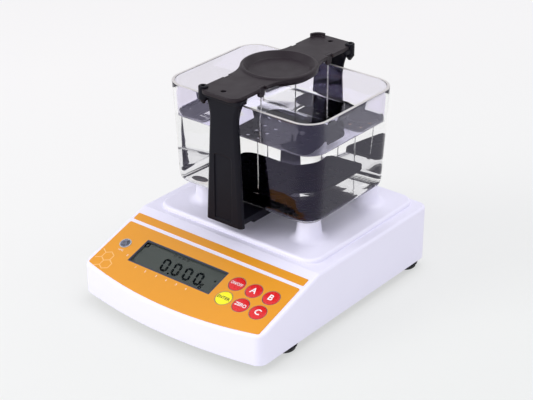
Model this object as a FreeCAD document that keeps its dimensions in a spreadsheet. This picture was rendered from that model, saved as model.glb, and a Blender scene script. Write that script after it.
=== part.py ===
import FreeCAD, Part
import math
import os
import Sketcher
from FreeCAD import Placement, Rotation, Vector

# Benchtop density meter: a white instrument housing with a sloped key panel, a
# raised tray whose four columns carry a clear water tank, and a black weighing
# frame that stands on a load cell, passes under the tank and closes over it with
# a lift-off beam. The beam holds a dish for weighing in air and, on four thin
# wires, a perforated pan for weighing in water.
#
# Frame: +Z up, X to the right, -Y towards the operator. The origin is on the
# table, under the middle of the instrument. Millimetres.

os.makedirs("parts", exist_ok=True)

# ------------------------------------------------------------------ sizes

SIZES = {
    # housing
    "base_width": 180.0,
    "base_depth": 226.5,
    "front_bow": 10.5,
    "body_height": 47.4,
    "foot_height": 8.0,
    "panel_depth": 79.7,
    "panel_angle": 17.6,
    "shell_wall": 2.5,
    "corner_round": 8.0,
    "edge_round": 2.4,
    "plate_thick": 3.0,
    "plate_recess": 0.5,
    "fit_gap": 0.3,
    # tray and columns
    "tray_side": 10.0,
    "tray_setback": 5.0,
    "tray_margin": 2.75,
    "tray_thick": 3.5,
    "tray_corner": 13.0,
    "tray_edge": 2.6,
    "column_inset_x": 22.4,
    "column_inset_y": 17.3,
    "column_height": 20.6,
    "column_foot_dia": 20.0,
    "column_top_dia": 17.0,
    "column_fillet": 6.0,
    "column_round": 0.8,
    # tank
    "tank_width": 148.0,
    "tank_depth": 110.6,
    "tank_height": 85.9,
    "tank_taper": 4.5,
    "tank_corner": 19.0,
    "tank_edge": 7.0,
    "tank_wall": 2.6,
    "tank_shift": 1.8,
    # weighing frame
    "hub_shift": 10.975,
    "bar_gap": 2.5,
    "bar_thick": 7.0,
    "leg_gap": 13.0,
    "leg_thick": 4.0,
    "leg_foot_width": 36.0,
    "leg_waist_width": 27.2,
    "leg_head_width": 36.0,
    "flare_height": 19.5,
    "collar_height": 3.2,
    "collar_width": 38.6,
    "collar_depth": 11.0,
    "collar_round": 2.5,
    "leg_panel_width": 17.0,
    "leg_panel_low": 3.0,
    "leg_panel_high": 58.0,
    "leg_panel_round": 2.5,
    "leg_panel_sink": 0.8,
    "toe_thick": 2.6,
    "toe_reach": 12.0,
    "toe_screw_x": 9.0,
    "post_rise": 1.5,
    "post_dia": 7.4,
    "post_hole_dia": 3.4,
    "post_hole_depth": 6.0,
    "post_inset": 1.5,
    "post_shift": 1.2,
    "post_drop": 5.9,
    "post_tip": 3.7,
    "beam_rise": 11.4,
    "beam_thick": 3.0,
    "beam_width": 37.0,
    "beam_overhang": 6.3,
    "beam_corner": 8.0,
    "dish_dia": 60.8,
    "dish_floor_dia": 47.0,
    "dish_rim_rise": 1.2,
    "dish_sink": 3.4,
    "dish_body": 6.4,
    "waist_blend": 30.0,
    "tab_radius": 8.3,
    "tab_thick": 2.0,
    "tab_rise": 2.4,
    "tab_proud": 0.9,
    "tab_shift": 1.6,
    "pin_inset": 2.1,
    "pin_dia": 4.2,
    "pin_gap": 0.08,
    # wires and pan
    "wire_notch": 2.5,
    "wire_inset": 13.5,
    "wire_dia": 1.0,
    "clip_width": 6.2,
    "clip_thick": 2.4,
    "clip_drop": 5.4,
    "clip_round": 2.4,
    "clip_grip": 4.0,
    "pan_rise": 16.5,
    "pan_thick": 3.0,
    "pan_width": 74.6,
    "pan_end": 1.4,
    "pan_corner": 12.0,
    "pan_lug": 1.8,
    "pan_lug_width": 7.0,
    "pan_hole_dia": 4.4,
    "pan_hole_pitch": 10.8,
    "hook_length": 5.0,
    # panel, in its own plane: x, and run down the slope from the crease
    "skin_thick": 0.4,
    "overlay_side": 4.0,
    "overlay_length": 52.8,
    "overlay_margin": 2.4,
    "overlay_round": 1.6,
    "strip_gap": 3.6,
    "strip_length": 7.2,
    "lcd_inset": 29.0,
    "lcd_key_gap": 6.9,
    "lcd_from_front": 29.3,
    "lcd_length": 24.6,
    "lcd_lip": 3.0,
    "window_thick": 1.2,
    "cell_thick": 2.8,
    "backlight_thick": 3.0,
    "frame_ring": 1.2,
    "level_inset": 14.1,
    "level_from_front": 30.6,
    "level_dia": 10.0,
    "level_depth": 7.0,
    "level_wall": 0.8,
    "level_rise": 0.3,
    "level_dome": 0.8,
    "key_inset": 14.0,
    "key_from_front": 18.9,
    "key_web": 3.2,
    "key_dia": 13.2,
    "key_round": 0.5,
    "key_gap": 0.3,
    "key_rise": 0.5,
    "key_flange": 0.7,
    "key_flange_thick": 1.0,
    "key_stem_dia": 4.0,
    "key_stem_length": 1.2,
    "key_travel": 0.5,
    "switch_side": 6.0,
    "switch_body": 3.0,
    "plunger_dia": 3.4,
    "board_drop": 10.0,
    "board_thick": 1.6,
    "board_left_inset": 20.0,
    "board_right_inset": 13.0,
    "board_from_front": 2.6,
    "board_length": 52.0,
    "board_inset": 4.0,
    # load cell and what carries it
    "cell_length": 100.0,
    "cell_side": 20.0,
    "cell_bean_dia": 11.0,
    "cell_bean_pitch": 22.0,
    "cell_screw_pitch": 15.0,
    "cell_end": 5.0,
    "cell_slot": 3.0,
    "cell_hole_depth": 14.0,
    "foot_block": 24.0,
    "foot_block_thick": 5.0,
    "spacer_length": 24.0,
    "spacer_thick": 4.0,
    "bracket_thick": 4.0,
    "bracket_width": 24.0,
    "bracket_reach": 15.0,
    "overload_gap": 0.4,
    "stem_dia": 14.0,
    "stem_clear": 3.0,
    # electronics
    "main_inset": 16.0,
    "main_width": 54.0,
    "main_margin": 12.25,
    "main_depth": 49.0,
    "main_rise": 9.5,
    "shield_x": 17.0,
    "shield_y": 24.0,
    "shield_width": 22.0,
    "shield_depth": 16.0,
    "shield_height": 6.0,
    "chip_x": 17.0,
    "chip_y": 22.0,
    "chip_side": 14.0,
    "chip_height": 1.6,
    "inlet_offset": 13.0,
    "port_offset": 35.0,
    "ribbon_width": 14.0,
    "ribbon_thick": 1.0,
    "ribbon_offset": 28.0,
    "ribbon_from_front": 16.6,
    "ribbon_over": 6.0,
    "ribbon_gap": 1.0,
    "lead_dia": 3.0,
    "lead_offset": 12.0,
    "lead_length": 18.0,
    # feet and fasteners
    "foot_inset": 12.0,
    "foot_front_inset": 41.25,
    "foot_back_inset": 13.25,
    "foot_dia": 21.0,
    "pad_dia": 18.0,
    "pad_thick": 3.0,
    "pad_gap": 0.2,
    "knurl_dia": 2.4,
    "stud_dia": 6.0,
    "stud_spare": 5.5,
    "socket_dia": 4.0,
    "socket_depth": 1.6,
    "shaft_gap": 0.05,
    "insert_dia": 10.0,
    "insert_thick": 5.0,
    "insert_wall": 2.4,
    "boss_dia": 7.0,
    "case_boss_inset": 8.0,
    "case_boss_front": 14.75,
    "case_boss_middle": 18.0,
    "case_boss_back": 33.25,
    "screw_dia": 3.0,
    "screw_head_dia": 5.6,
    "screw_head": 2.0,
    "bolt_dia": 4.0,
    "bolt_head_dia": 7.0,
    "bolt_head": 2.6,
    "nut_thick": 2.4,
    "board_screw_grip": 4.0,
    "main_screw_grip": 5.0,
    "case_screw_grip": 7.0,
    "tray_screw_grip": 11.0,
    "toe_screw_length": 5.0,
    "toe_screw_head": 1.0,
    "fixed_bolt_grip": 15.0,
    "free_bolt_grip": 12.0,
    "stem_bolt_grip": 8.0,
    "pilot_spare": 3.0,
}

doc = FreeCAD.newDocument("DensityMeter")
sheet = doc.addObject("Spreadsheet::Sheet", "Dims")
for row, (alias, number) in enumerate(SIZES.items(), start=1):
    sheet.set(f"A{row}", alias.replace("_", " "))
    sheet.set(f"B{row}", str(number))
    sheet.setAlias(f"B{row}", alias)
doc.recompute()


class Size:
    """A length that knows its number and the expression that ties it to the sheet."""

    def __init__(self, value, text):
        self.value = float(value)
        self.text = text

    @staticmethod
    def of(item):
        if isinstance(item, Size):
            return item
        return Size(item, f"({item})" if item < 0 else f"{item}")

    def _join(self, other, sign, value):
        return Size(value, f"({self.text} {sign} {other.text})")

    def __add__(self, other):
        other = Size.of(other)
        return self._join(other, "+", self.value + other.value)

    def __sub__(self, other):
        other = Size.of(other)
        return self._join(other, "-", self.value - other.value)

    def __mul__(self, other):
        other = Size.of(other)
        return self._join(other, "*", self.value * other.value)

    def __truediv__(self, other):
        other = Size.of(other)
        return self._join(other, "/", self.value / other.value)

    def __radd__(self, other):
        return Size.of(other) + self

    def __rsub__(self, other):
        return Size.of(other) - self

    def __rmul__(self, other):
        return Size.of(other) * self

    def __neg__(self):
        return Size(-self.value, f"(0 - {self.text})")

    def __float__(self):
        return self.value


def tangent(angle):
    return Size(math.tan(math.radians(angle.value)), f"tan({angle.text})")


def cosine(angle):
    return Size(math.cos(math.radians(angle.value)), f"cos({angle.text})")


def sine(angle):
    return Size(math.sin(math.radians(angle.value)), f"sin({angle.text})")


def arctangent(item):
    return Size(math.degrees(math.atan(item.value)), f"atan({item.text})")


def root(item):
    return Size(math.sqrt(item.value), f"sqrt({item.text})")


class Sheet:
    """Each cell of the sheet as a Size, by its alias."""

    def __getattr__(self, alias):
        return Size(SIZES[alias], f"Dims.{alias}")


d = Sheet()
ZERO = Size(0, "0")
TINY = 0.01  # how far apart two faces of separate pieces lie where they touch

# Places that several pieces share, worked out from the driving sizes.
floor_z = d.foot_height
top_z = d.foot_height + d.body_height
plate_z = floor_z + d.plate_recess
deck_z = plate_z + d.plate_thick
ceiling_z = top_z - d.shell_wall
front_y = -d.base_depth / 2
back_y = d.base_depth / 2
corner_y = front_y + d.front_bow
half_width = d.base_width / 2
bow_radius = (half_width * half_width + d.front_bow * d.front_bow) / (d.front_bow * 2)
bow_centre_y = front_y + bow_radius
slope = tangent(d.panel_angle)
slope_cos = cosine(d.panel_angle)
slope_sin = sine(d.panel_angle)

# the crease, and the tray behind it; the hub is the weighing frame's middle
crease_y = front_y + d.panel_depth
tray_front = crease_y + d.tray_setback
tray_back = back_y - d.tray_margin
tray_top = top_z + d.tray_thick
tray_mid_y = (tray_front + tray_back) / 2
hub_y = tray_mid_y - d.hub_shift
tank_y = hub_y + d.tank_shift

# the stack above the tray: columns, tank, frame, beam and pan
tank_floor_z = tray_top + d.column_height
bar_top = tank_floor_z - d.bar_gap
bar_low = bar_top - d.bar_thick
beam_low = tank_floor_z + d.tank_height + d.beam_rise
beam_top = beam_low + d.beam_thick
leg_head_z = beam_low - d.collar_height
leg_waist_z = leg_head_z - d.flare_height
pan_top = tank_floor_z + d.pan_rise
column_x = d.tank_width / 2 - d.column_inset_x
column_y = d.tank_depth / 2 - d.column_inset_y
leg_out = d.tank_depth / 2 + d.leg_gap
pin_out = leg_out - d.pin_inset
beam_out = leg_out + d.beam_overhang
post_out_x = d.beam_width / 2 - d.post_inset
post_out_y = leg_out + d.post_shift
wire_out_x = d.beam_width / 2 - d.wire_notch
wire_out_y = d.tank_depth / 2 - d.wire_inset
pan_out_y = wire_out_y + d.pan_end

# the panel: runs are measured down the slope from the crease
panel_run = (d.panel_depth - d.front_bow) / slope_cos
overlay_half = half_width - d.overlay_side
overlay_top = panel_run - d.overlay_length
key_pitch = d.key_dia + d.key_web
key_radius = d.key_dia / 2
key_first_x = overlay_half - d.key_inset - key_pitch * 2
key_low_run = panel_run - d.key_from_front
lcd_left = d.lcd_inset - overlay_half
lcd_right = key_first_x - key_radius - d.lcd_key_gap
lcd_mid = d.lcd_from_front - panel_run
lcd_low = lcd_mid - d.lcd_length / 2
lcd_high = lcd_mid + d.lcd_length / 2
level_x = d.level_inset - overlay_half
level_run = panel_run - d.level_from_front
board_left = d.board_left_inset - half_width
board_right = half_width - d.board_right_inset
board_low_run = panel_run - d.board_from_front
board_top_run = board_low_run - d.board_length

# the main board at the rear left, and the sockets and cables on it
main_left = d.main_inset - half_width
main_right = main_left + d.main_width
main_back = back_y - d.main_margin
main_front = main_back - d.main_depth
main_z = deck_z + d.main_rise
inlet_x = main_left + d.inlet_offset
port_x = main_left + d.port_offset


# ------------------------------------------------------------------ helpers


def tie(thing, **links):
    """Bind properties to the sheet; a double underscore stands for a dot."""
    for name, size in links.items():
        thing.setExpression(name.replace("__", "."), Size.of(size).text)


def place(thing, x=ZERO, y=ZERO, z=ZERO):
    """Bind the thing's position to the sheet."""
    tie(thing, Placement__Base__x=x, Placement__Base__y=y, Placement__Base__z=z)


def on_panel(thing, x=ZERO, run=ZERO, out=ZERO):
    """Lay a thing in the sloped panel: x, the run down the slope, and out of it."""
    thing.Placement = Placement(Vector(), Rotation(Vector(1, 0, 0), 1))
    tie(thing, Placement__Rotation__Angle=d.panel_angle)
    place(
        thing,
        x,
        crease_y - run * slope_cos - out * slope_sin,
        top_z - run * slope_sin + out * slope_cos,
    )


class Piece:
    """A PartDesign body, with the sketches and features that shape it."""

    def __init__(self, label):
        self.body = doc.addObject("PartDesign::Body", label)
        self.body.Label = label
        self.label = label
        self.features = 0

    def _name(self, kind):
        self.features += 1
        return f"{self.label}_{kind}_{self.features}"

    def sketch(self, points=(), radii=None, circles=(), plane="XY_Plane", offset=ZERO):
        """A closed outline through points, with arcs of the given radii, and circles.

        radii maps the number of a side to its radius: positive where the arc's
        centre is to the left of the side's direction, negative to the right.
        """
        sketch = self.body.newObject("Sketcher::SketchObject", self._name("sketch"))
        origin = self.body.Origin.OriginFeatures
        sketch.AttachmentSupport = [(item, "") for item in origin if item.Role == plane]
        sketch.MapMode = "FlatFace"
        tie(sketch, AttachmentOffset__Base__z=offset)
        if points:
            draw_outline(sketch, points, radii or {})
        for x, y, radius in circles:
            draw_circle(sketch, Size.of(x), Size.of(y), Size.of(radius))
        return sketch

    def _feature(self, kind, sketch, **links):
        feature = self.body.newObject(f"PartDesign::{kind}", self._name(kind.lower()))
        feature.Profile = sketch
        tie(feature, **links)
        return feature

    def pad(self, sketch, length, down=False, both=False):
        feature = self._feature("Pad", sketch, Length=length)
        feature.Reversed = down
        if both:
            feature.SideType = "Symmetric"
        return feature

    def pocket(self, sketch, depth, up=False, both=False):
        """Cut below the sketch, above it with up, or to both sides with both."""
        feature = self._feature("Pocket", sketch, Length=depth)
        feature.Reversed = up
        if both:
            feature.SideType = "Symmetric"
        return feature

    def turn(self, points, radii=None, groove=False):
        """Revolve an outline, given as (radius, height) points, about the Z axis."""
        sketch = self.sketch(points, radii, plane="XZ_Plane")
        kind = "Groove" if groove else "Revolution"
        feature = self._feature(kind, sketch)
        feature.ReferenceAxis = (sketch, ["V_Axis"])
        feature.Angle = 360
        return feature

    def _dress(self, kind, test, **links):
        doc.recompute()
        base = self.body.Tip
        edges = base.Shape.Edges
        names = [f"Edge{n}" for n, edge in enumerate(edges, start=1) if test(edge)]
        feature = self.body.newObject(f"PartDesign::{kind}", self._name(kind.lower()))
        feature.Base = (base, names)
        tie(feature, **links)
        return feature

    def fillet(self, radius, test):
        return self._dress("Fillet", test, Radius=radius)

    def polar(self, feature, count):
        pattern = self.body.newObject("PartDesign::PolarPattern", self._name("polar"))
        pattern.Originals = [feature]
        origin = self.body.Origin.OriginFeatures
        axis = next(item for item in origin if item.Role == "Z_Axis")
        pattern.Axis = (axis, [""])
        pattern.Angle = 360
        pattern.Occurrences = count
        self.body.Tip = pattern
        return pattern


def draw_outline(sketch, points, radii):
    """Lines and arcs through points, every point and radius bound to the sheet."""
    count = len(points)
    points = [(Size.of(x), Size.of(y)) for x, y in points]
    ends = []
    for side in range(count):
        start = Vector(float(points[side][0]), float(points[side][1]), 0)
        finish_x, finish_y = points[(side + 1) % count]
        finish = Vector(float(finish_x), float(finish_y), 0)
        radius = radii.get(side)
        if radius is None:
            index = sketch.addGeometry(Part.LineSegment(start, finish), False)
            ends.append((index, 1, 2))
            continue
        chord = finish - start
        half = chord.Length / 2
        reach = math.sqrt(max(float(radius) ** 2 - half**2, 0.0))
        left = Vector(-chord.y, chord.x, 0).normalize()
        turns_left = float(radius) > 0
        centre = (start + finish) / 2 + left * (reach if turns_left else -reach)
        first, last = (start, finish) if turns_left else (finish, start)
        circle = Part.Circle(centre, Vector(0, 0, 1), abs(float(radius)))
        begin = math.atan2(first.y - centre.y, first.x - centre.x)
        stop = math.atan2(last.y - centre.y, last.x - centre.x)
        index = sketch.addGeometry(Part.ArcOfCircle(circle, begin, stop), False)
        ends.append((index, 1, 2) if turns_left else (index, 2, 1))
        bound = radius if turns_left else -radius
        rule = sketch.addConstraint(Sketcher.Constraint("Radius", index, abs(float(radius))))
        sketch.setExpression(f"Constraints[{rule}]", bound.text)
    for side in range(count):
        index, _, last = ends[side]
        following, first, _ = ends[(side + 1) % count]
        sketch.addConstraint(Sketcher.Constraint("Coincident", index, last, following, first))
    for side, (x, y) in enumerate(points):
        index, first, _ = ends[side]
        for kind, size in (("DistanceX", x), ("DistanceY", y)):
            rule = Sketcher.Constraint(kind, -1, 1, index, first, float(size))
            rule = sketch.addConstraint(rule)
            sketch.setExpression(f"Constraints[{rule}]", size.text)


def draw_circle(sketch, x, y, radius):
    """A circle with its centre and radius bound to the sheet."""
    centre = Vector(float(x), float(y), 0)
    circle = Part.Circle(centre, Vector(0, 0, 1), float(radius))
    index = sketch.addGeometry(circle, False)
    rules = (
        (Sketcher.Constraint("DistanceX", -1, 1, index, 3, float(x)), x),
        (Sketcher.Constraint("DistanceY", -1, 1, index, 3, float(y)), y),
        (Sketcher.Constraint("Radius", index, float(radius)), radius),
    )
    for rule, size in rules:
        number = sketch.addConstraint(rule)
        sketch.setExpression(f"Constraints[{number}]", size.text)


def rectangle(left, low, right, high):
    """The four corners of a rectangle, turning left."""
    return [(left, low), (right, low), (right, high), (left, high)]


def around(x, y, width, depth):
    """The corners of a rectangle of this width and depth, centred on x and y."""
    return rectangle(x - width / 2, y - depth / 2, x + width / 2, y + depth / 2)


def rounded(left, low, right, high, radius):
    """The outline of a rectangle with round corners, and its arcs."""
    points = [
        (left + radius, low),
        (right - radius, low),
        (right, low + radius),
        (right, high - radius),
        (right - radius, high),
        (left + radius, high),
        (left, high - radius),
        (left, low + radius),
    ]
    return points, {1: radius, 3: radius, 5: radius, 7: radius}


def rounded_around(x, y, width, depth, radius):
    """rounded, by its centre."""
    half_x = Size.of(width) / 2
    half_y = Size.of(depth) / 2
    return rounded(x - half_x, y - half_y, x + half_x, y + half_y, radius)


def upright(edge):
    """True for a straight edge along Z."""
    if not isinstance(edge.Curve, Part.Line):
        return False
    return abs(edge.tangentAt(edge.FirstParameter).z) > 0.999


def at_height(height):
    """A test for edges that lie wholly at one height."""
    level = float(height)

    def test(edge):
        box = edge.BoundBox
        return abs(box.ZMin - level) < 1e-3 and abs(box.ZMax - level) < 1e-3

    return test


def part_box(label, left, low, bottom, width, depth, height):
    """A Part::Box bound to the sheet."""
    box = doc.addObject("Part::Box", label)
    box.Label = label
    tie(box, Length=width, Width=depth, Height=height)
    place(box, Size.of(left), Size.of(low), Size.of(bottom))
    return box


def part_cylinder(label, x, y, z, radius, height):
    """An upright Part::Cylinder bound to the sheet."""
    cylinder = doc.addObject("Part::Cylinder", label)
    cylinder.Label = label
    tie(cylinder, Radius=radius, Height=height)
    place(cylinder, Size.of(x), Size.of(y), Size.of(z))
    return cylinder


def fuse(label, things):
    """One Part::MultiFuse of several things."""
    fusion = doc.addObject("Part::MultiFuse", label)
    fusion.Label = label
    fusion.Shapes = things
    return fusion


def cut(label, base, tools):
    """The base with the tools cut out of it."""
    tool = tools[0] if len(tools) == 1 else fuse(f"{label}_tools", tools)
    result = doc.addObject("Part::Cut", label)
    result.Label = label
    result.Base = base
    result.Tool = tool
    return result


def group(label, master, places):
    """Separate copies of one fastener or small part, as the solids of one node."""
    doc.recompute()
    solids = []
    for spot in places:
        solid = master.Shape.copy()
        solid.translate(Vector(*spot))
        solids.append(solid)
    result = doc.addObject("Part::Feature", label)
    result.Label = label
    result.Shape = Part.makeCompound(solids)
    return result


NODES = []


def keep(piece):
    """Note a finished sub-part for the parts folder, and hand it back."""
    NODES.append(piece.body if isinstance(piece, Piece) else piece)
    return piece


# ------------------------------------------------------------------ housing


def wedge_block(label, inset, bottom):
    """The housing's outside, or, with an inset, the room inside it.

    The plan has straight sides and a bowed front, and the top falls away from
    the crease towards the front at the panel's angle.
    """
    block = Piece(label)
    side = half_width - inset
    radius = bow_radius - inset
    edge_y = bow_centre_y - root(radius * radius - side * side)
    plan = rectangle(-side, edge_y, side, back_y - inset)
    sketch = block.sketch(plan, {0: radius}, offset=bottom)
    block.pad(sketch, top_z - inset - bottom)
    block.fillet(d.corner_round - inset, upright)
    reach = 20
    drop = top_z - inset / slope_cos
    wedge = [
        (crease_y + reach, drop + slope * reach),
        (front_y - reach, drop - slope * (crease_y - front_y + reach)),
        (front_y - reach, top_z + reach),
        (crease_y + reach, top_z + reach),
    ]
    side_view = block.sketch(wedge, plane="YZ_Plane")
    block.pocket(side_view, d.base_width * 2, both=True)
    return block


def lcd_outline(margin):
    """The display's visible field, made larger all round by a margin."""
    return rectangle(lcd_left - margin, lcd_low - margin, lcd_right + margin, lcd_high + margin)


def panel_tool(label, points=(), radii=None, circles=(), depth=20):
    """A cutter through the sloped panel, drawn in the panel's own plane."""
    tool = Piece(label)
    sketch = tool.sketch(points, radii, circles)
    tool.pad(sketch, depth, both=True)
    on_panel(tool.body)
    return tool.body


key_places = [
    ("key_on_off", key_first_x, key_low_run - key_pitch),
    ("key_a", key_first_x + key_pitch, key_low_run - key_pitch),
    ("key_b", key_first_x + key_pitch * 2, key_low_run - key_pitch),
    ("key_enter", key_first_x, key_low_run),
    ("key_zero", key_first_x + key_pitch, key_low_run),
    ("key_c", key_first_x + key_pitch * 2, key_low_run),
]
key_hole = key_radius + d.key_gap
key_flange_top = -d.shell_wall - d.key_gap / 2
level_hole = d.level_dia / 2 + d.shaft_gap

# the stock sockets in the rear wall
INLET_RADIUS = 4.0
INLET_MOUTH_RADIUS = 2.75
INLET_PIN_RADIUS = 1.05
INLET_DEPTH = 10.0
PORT_WIDTH = 17.0
PORT_HEIGHT = 9.0

INLET_WIDTH = 9.0
INLET_LENGTH = 13.0
INLET_HEIGHT = 11.0
INLET_RISE = 5.6
PORT_BODY_WIDTH = 31.0
PORT_BODY_LENGTH = 10.0
PORT_BODY_HEIGHT = 12.6
PORT_RISE = 6.4
PORT_SLANT = 1.2
PORT_WALL = 0.8
PORT_DEPTH = 6.0
SOCKET_SHY = 0.4  # how far a socket's nose stays below the rear wall's face

case_boss_x = half_width - d.case_boss_inset
case_bosses = [
    (case_boss_x, corner_y + d.case_boss_front),
    (case_boss_x, hub_y - d.case_boss_middle),
    (case_boss_x, back_y - d.case_boss_back),
]
board_posts = [
    (board_left + d.board_inset, board_top_run + d.board_inset),
    (board_right - d.board_inset, board_top_run + d.board_inset),
    (board_left + d.board_inset, board_low_run - d.board_inset),
    (board_right - d.board_inset, board_low_run - d.board_inset),
]
inlet_z = main_z + d.board_thick + INLET_RISE
port_z = main_z + d.board_thick + PORT_RISE


def upper_housing():
    """The white shell: sides, bowed front, flat top and sloped key panel."""
    outside = wedge_block("housing_outside", ZERO, floor_z)
    edges = d.edge_round

    def rim(edge):
        box = edge.BoundBox
        level = box.ZMax - box.ZMin < 1e-3
        at_floor = abs(box.ZMin - float(floor_z)) < 1e-3
        on_wall = max(abs(box.XMin), abs(box.XMax)) > float(half_width) - 0.01
        wall = box.YMax < float(corner_y) + 9 or box.YMin > float(back_y) - 9
        crease = level and abs(box.YMin - float(crease_y)) < 1 and box.XLength > 50
        standing = box.ZLength > 15 and box.XLength < 1e-3 and box.YLength < 1e-3
        return not at_floor and not crease and not standing and (on_wall or wall)

    outside.fillet(edges, rim)
    inside = wedge_block("housing_inside", d.shell_wall, floor_z - 1)
    shell = cut("housing_shell", outside.body, [inside.body])
    limit = wedge_block("housing_limit", d.shell_wall / 2, deck_z)
    bosses = []
    for side in (-1, 1):
        for x, y in case_bosses:
            name = f"case_boss_{len(bosses)}"
            bosses.append(part_cylinder(name, side * x, y, deck_z, d.boss_dia / 2, top_z))
    for x, run in board_posts:
        post = doc.addObject("Part::Cylinder", f"board_post_{len(bosses)}")
        tie(post, Radius=d.boss_dia / 2 - 0.5, Height=d.board_drop)
        on_panel(post, x, run, -d.board_drop)
        bosses.append(post)
    trimmed = doc.addObject("Part::Common", "bosses_in_shell")
    trimmed.Base = fuse("boss_stock", bosses)
    trimmed.Tool = limit.body
    solid = fuse("housing_solid", [shell, trimmed])

    tools = []
    for side in (-1, 1):
        for x, y in case_bosses:
            name = f"case_pilot_{len(tools)}"
            depth = d.case_screw_grip + d.pilot_spare
            tools.append(part_cylinder(name, side * x, y, deck_z - 1, d.screw_dia / 2, depth + 1))
    for x, run in board_posts:
        pilot = doc.addObject("Part::Cylinder", f"board_pilot_{len(tools)}")
        tie(pilot, Radius=d.screw_dia / 2, Height=d.board_drop - 4)
        on_panel(pilot, x, run, -d.board_drop - 1)
        tools.append(pilot)
    tools.append(panel_tool("lcd_opening", lcd_outline(d.lcd_lip)))
    holes = [(x, -run, key_hole) for _, x, run in key_places]
    holes.append((level_x, -level_run, level_hole))
    tools.append(panel_tool("key_openings", circles=holes))
    stem_hole = d.stem_dia / 2 + d.stem_clear
    tools.append(part_cylinder("stem_opening", 0, hub_y, ceiling_z - 5, stem_hole, 15))
    for x, y in column_spots():
        name = f"tray_screw_hole_{len(tools)}"
        radius = d.screw_dia / 2 + d.shaft_gap
        tools.append(part_cylinder(name, x, y, ceiling_z - 5, radius, 15))
    inlet = doc.addObject("Part::Cylinder", "inlet_opening")
    inlet.Placement = Placement(Vector(), Rotation(Vector(1, 0, 0), -90))
    tie(inlet, Radius=INLET_RADIUS + d.fit_gap, Height=d.shell_wall + 10)
    place(inlet, inlet_x, back_y - d.shell_wall - 5, inlet_z)
    tools.append(inlet)
    tools.append(
        part_box(
            "port_opening",
            port_x - PORT_WIDTH / 2 - d.fit_gap,
            back_y - d.shell_wall - 5,
            port_z - PORT_HEIGHT / 2 - d.fit_gap,
            PORT_WIDTH + d.fit_gap * 2,
            d.shell_wall + 10,
            PORT_HEIGHT + d.fit_gap * 2,
        )
    )
    return keep(cut("upper_housing", solid, tools))


def column_spots():
    """Where the four columns stand."""
    return [
        (side_x * column_x, tray_mid_y + side_y * column_y)
        for side_x in (-1, 1)
        for side_y in (-1, 1)
    ]


def foot_spots():
    """Where the four levelling feet stand, with their names."""
    side = half_width - d.foot_inset
    front = corner_y + d.foot_front_inset
    rear = back_y - d.foot_back_inset
    return [
        ("front_left", -side, front),
        ("front_right", side, front),
        ("rear_left", -side, rear),
        ("rear_right", side, rear),
    ]


def lower_housing():
    """The base plate inside the shell's open bottom, with its stand-offs."""
    inset = d.shell_wall + d.fit_gap
    plate = Piece("base_plate")
    side = half_width - inset
    radius = bow_radius - inset
    edge_y = bow_centre_y - root(radius * radius - side * side)
    plan = rectangle(-side, edge_y, side, back_y - inset)
    plate.pad(plate.sketch(plan, {0: radius}, offset=plate_z), d.plate_thick)
    plate.fillet(d.corner_round - d.shell_wall, upright)
    feet = [(x, y) for _, x, y in foot_spots()]
    additions = [plate.body]
    for number, (x, y) in enumerate(feet):
        height = d.insert_thick + d.plate_thick
        ring = d.insert_dia / 2 + d.insert_wall
        additions.append(part_cylinder(f"insert_boss_{number}", x, y, plate_z, ring, height))
    for number, (x, y) in enumerate(main_board_spots()):
        name = f"board_standoff_{number}"
        height = d.plate_thick + d.main_rise
        additions.append(part_cylinder(name, x, y, plate_z, d.boss_dia / 2, height))
    solid = fuse("base_plate_solid", additions)
    tools = []
    for number, (x, y) in enumerate(feet):
        radius = d.insert_dia / 2 + d.shaft_gap
        tools.append(part_cylinder(f"insert_seat_{number}", x, y, deck_z, radius, floor_z * 2))
        radius = d.stud_dia / 2 + d.shaft_gap * 2
        tools.append(part_cylinder(f"stud_way_{number}", x, y, ZERO, radius, deck_z * 2))
    for number, (x, y) in enumerate(main_board_spots()):
        name = f"standoff_pilot_{number}"
        tools.append(part_cylinder(name, x, y, deck_z + 2, d.screw_dia / 2, d.main_rise))
    for number, (x, y) in enumerate((s * x, y) for s in (-1, 1) for x, y in case_bosses):
        name = f"case_screw_way_{number}"
        radius = d.screw_dia / 2 + d.shaft_gap
        tools.append(part_cylinder(name, x, y, plate_z - 1, radius, deck_z))
    for number, (x, y) in enumerate(fixed_bolt_spots()):
        radius = d.bolt_dia / 2 + d.shaft_gap
        tools.append(part_cylinder(f"cell_bolt_way_{number}", x, y, plate_z - 1, radius, deck_z))
    x, y = overload_spot()
    radius = d.bolt_dia / 2 + d.shaft_gap
    tools.append(part_cylinder("overload_way", x, y, plate_z - 1, radius, deck_z))
    return keep(cut("lower_housing", solid, tools))


def main_board_spots():
    """The main board's four fixing points."""
    inset = d.board_inset
    return [
        (main_left + inset, main_front + inset),
        (main_right - inset, main_front + inset),
        (main_left + inset, main_back - inset),
        (main_right - inset, main_back - inset),
    ]


# ------------------------------------------------------------------ tray, tank


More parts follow.
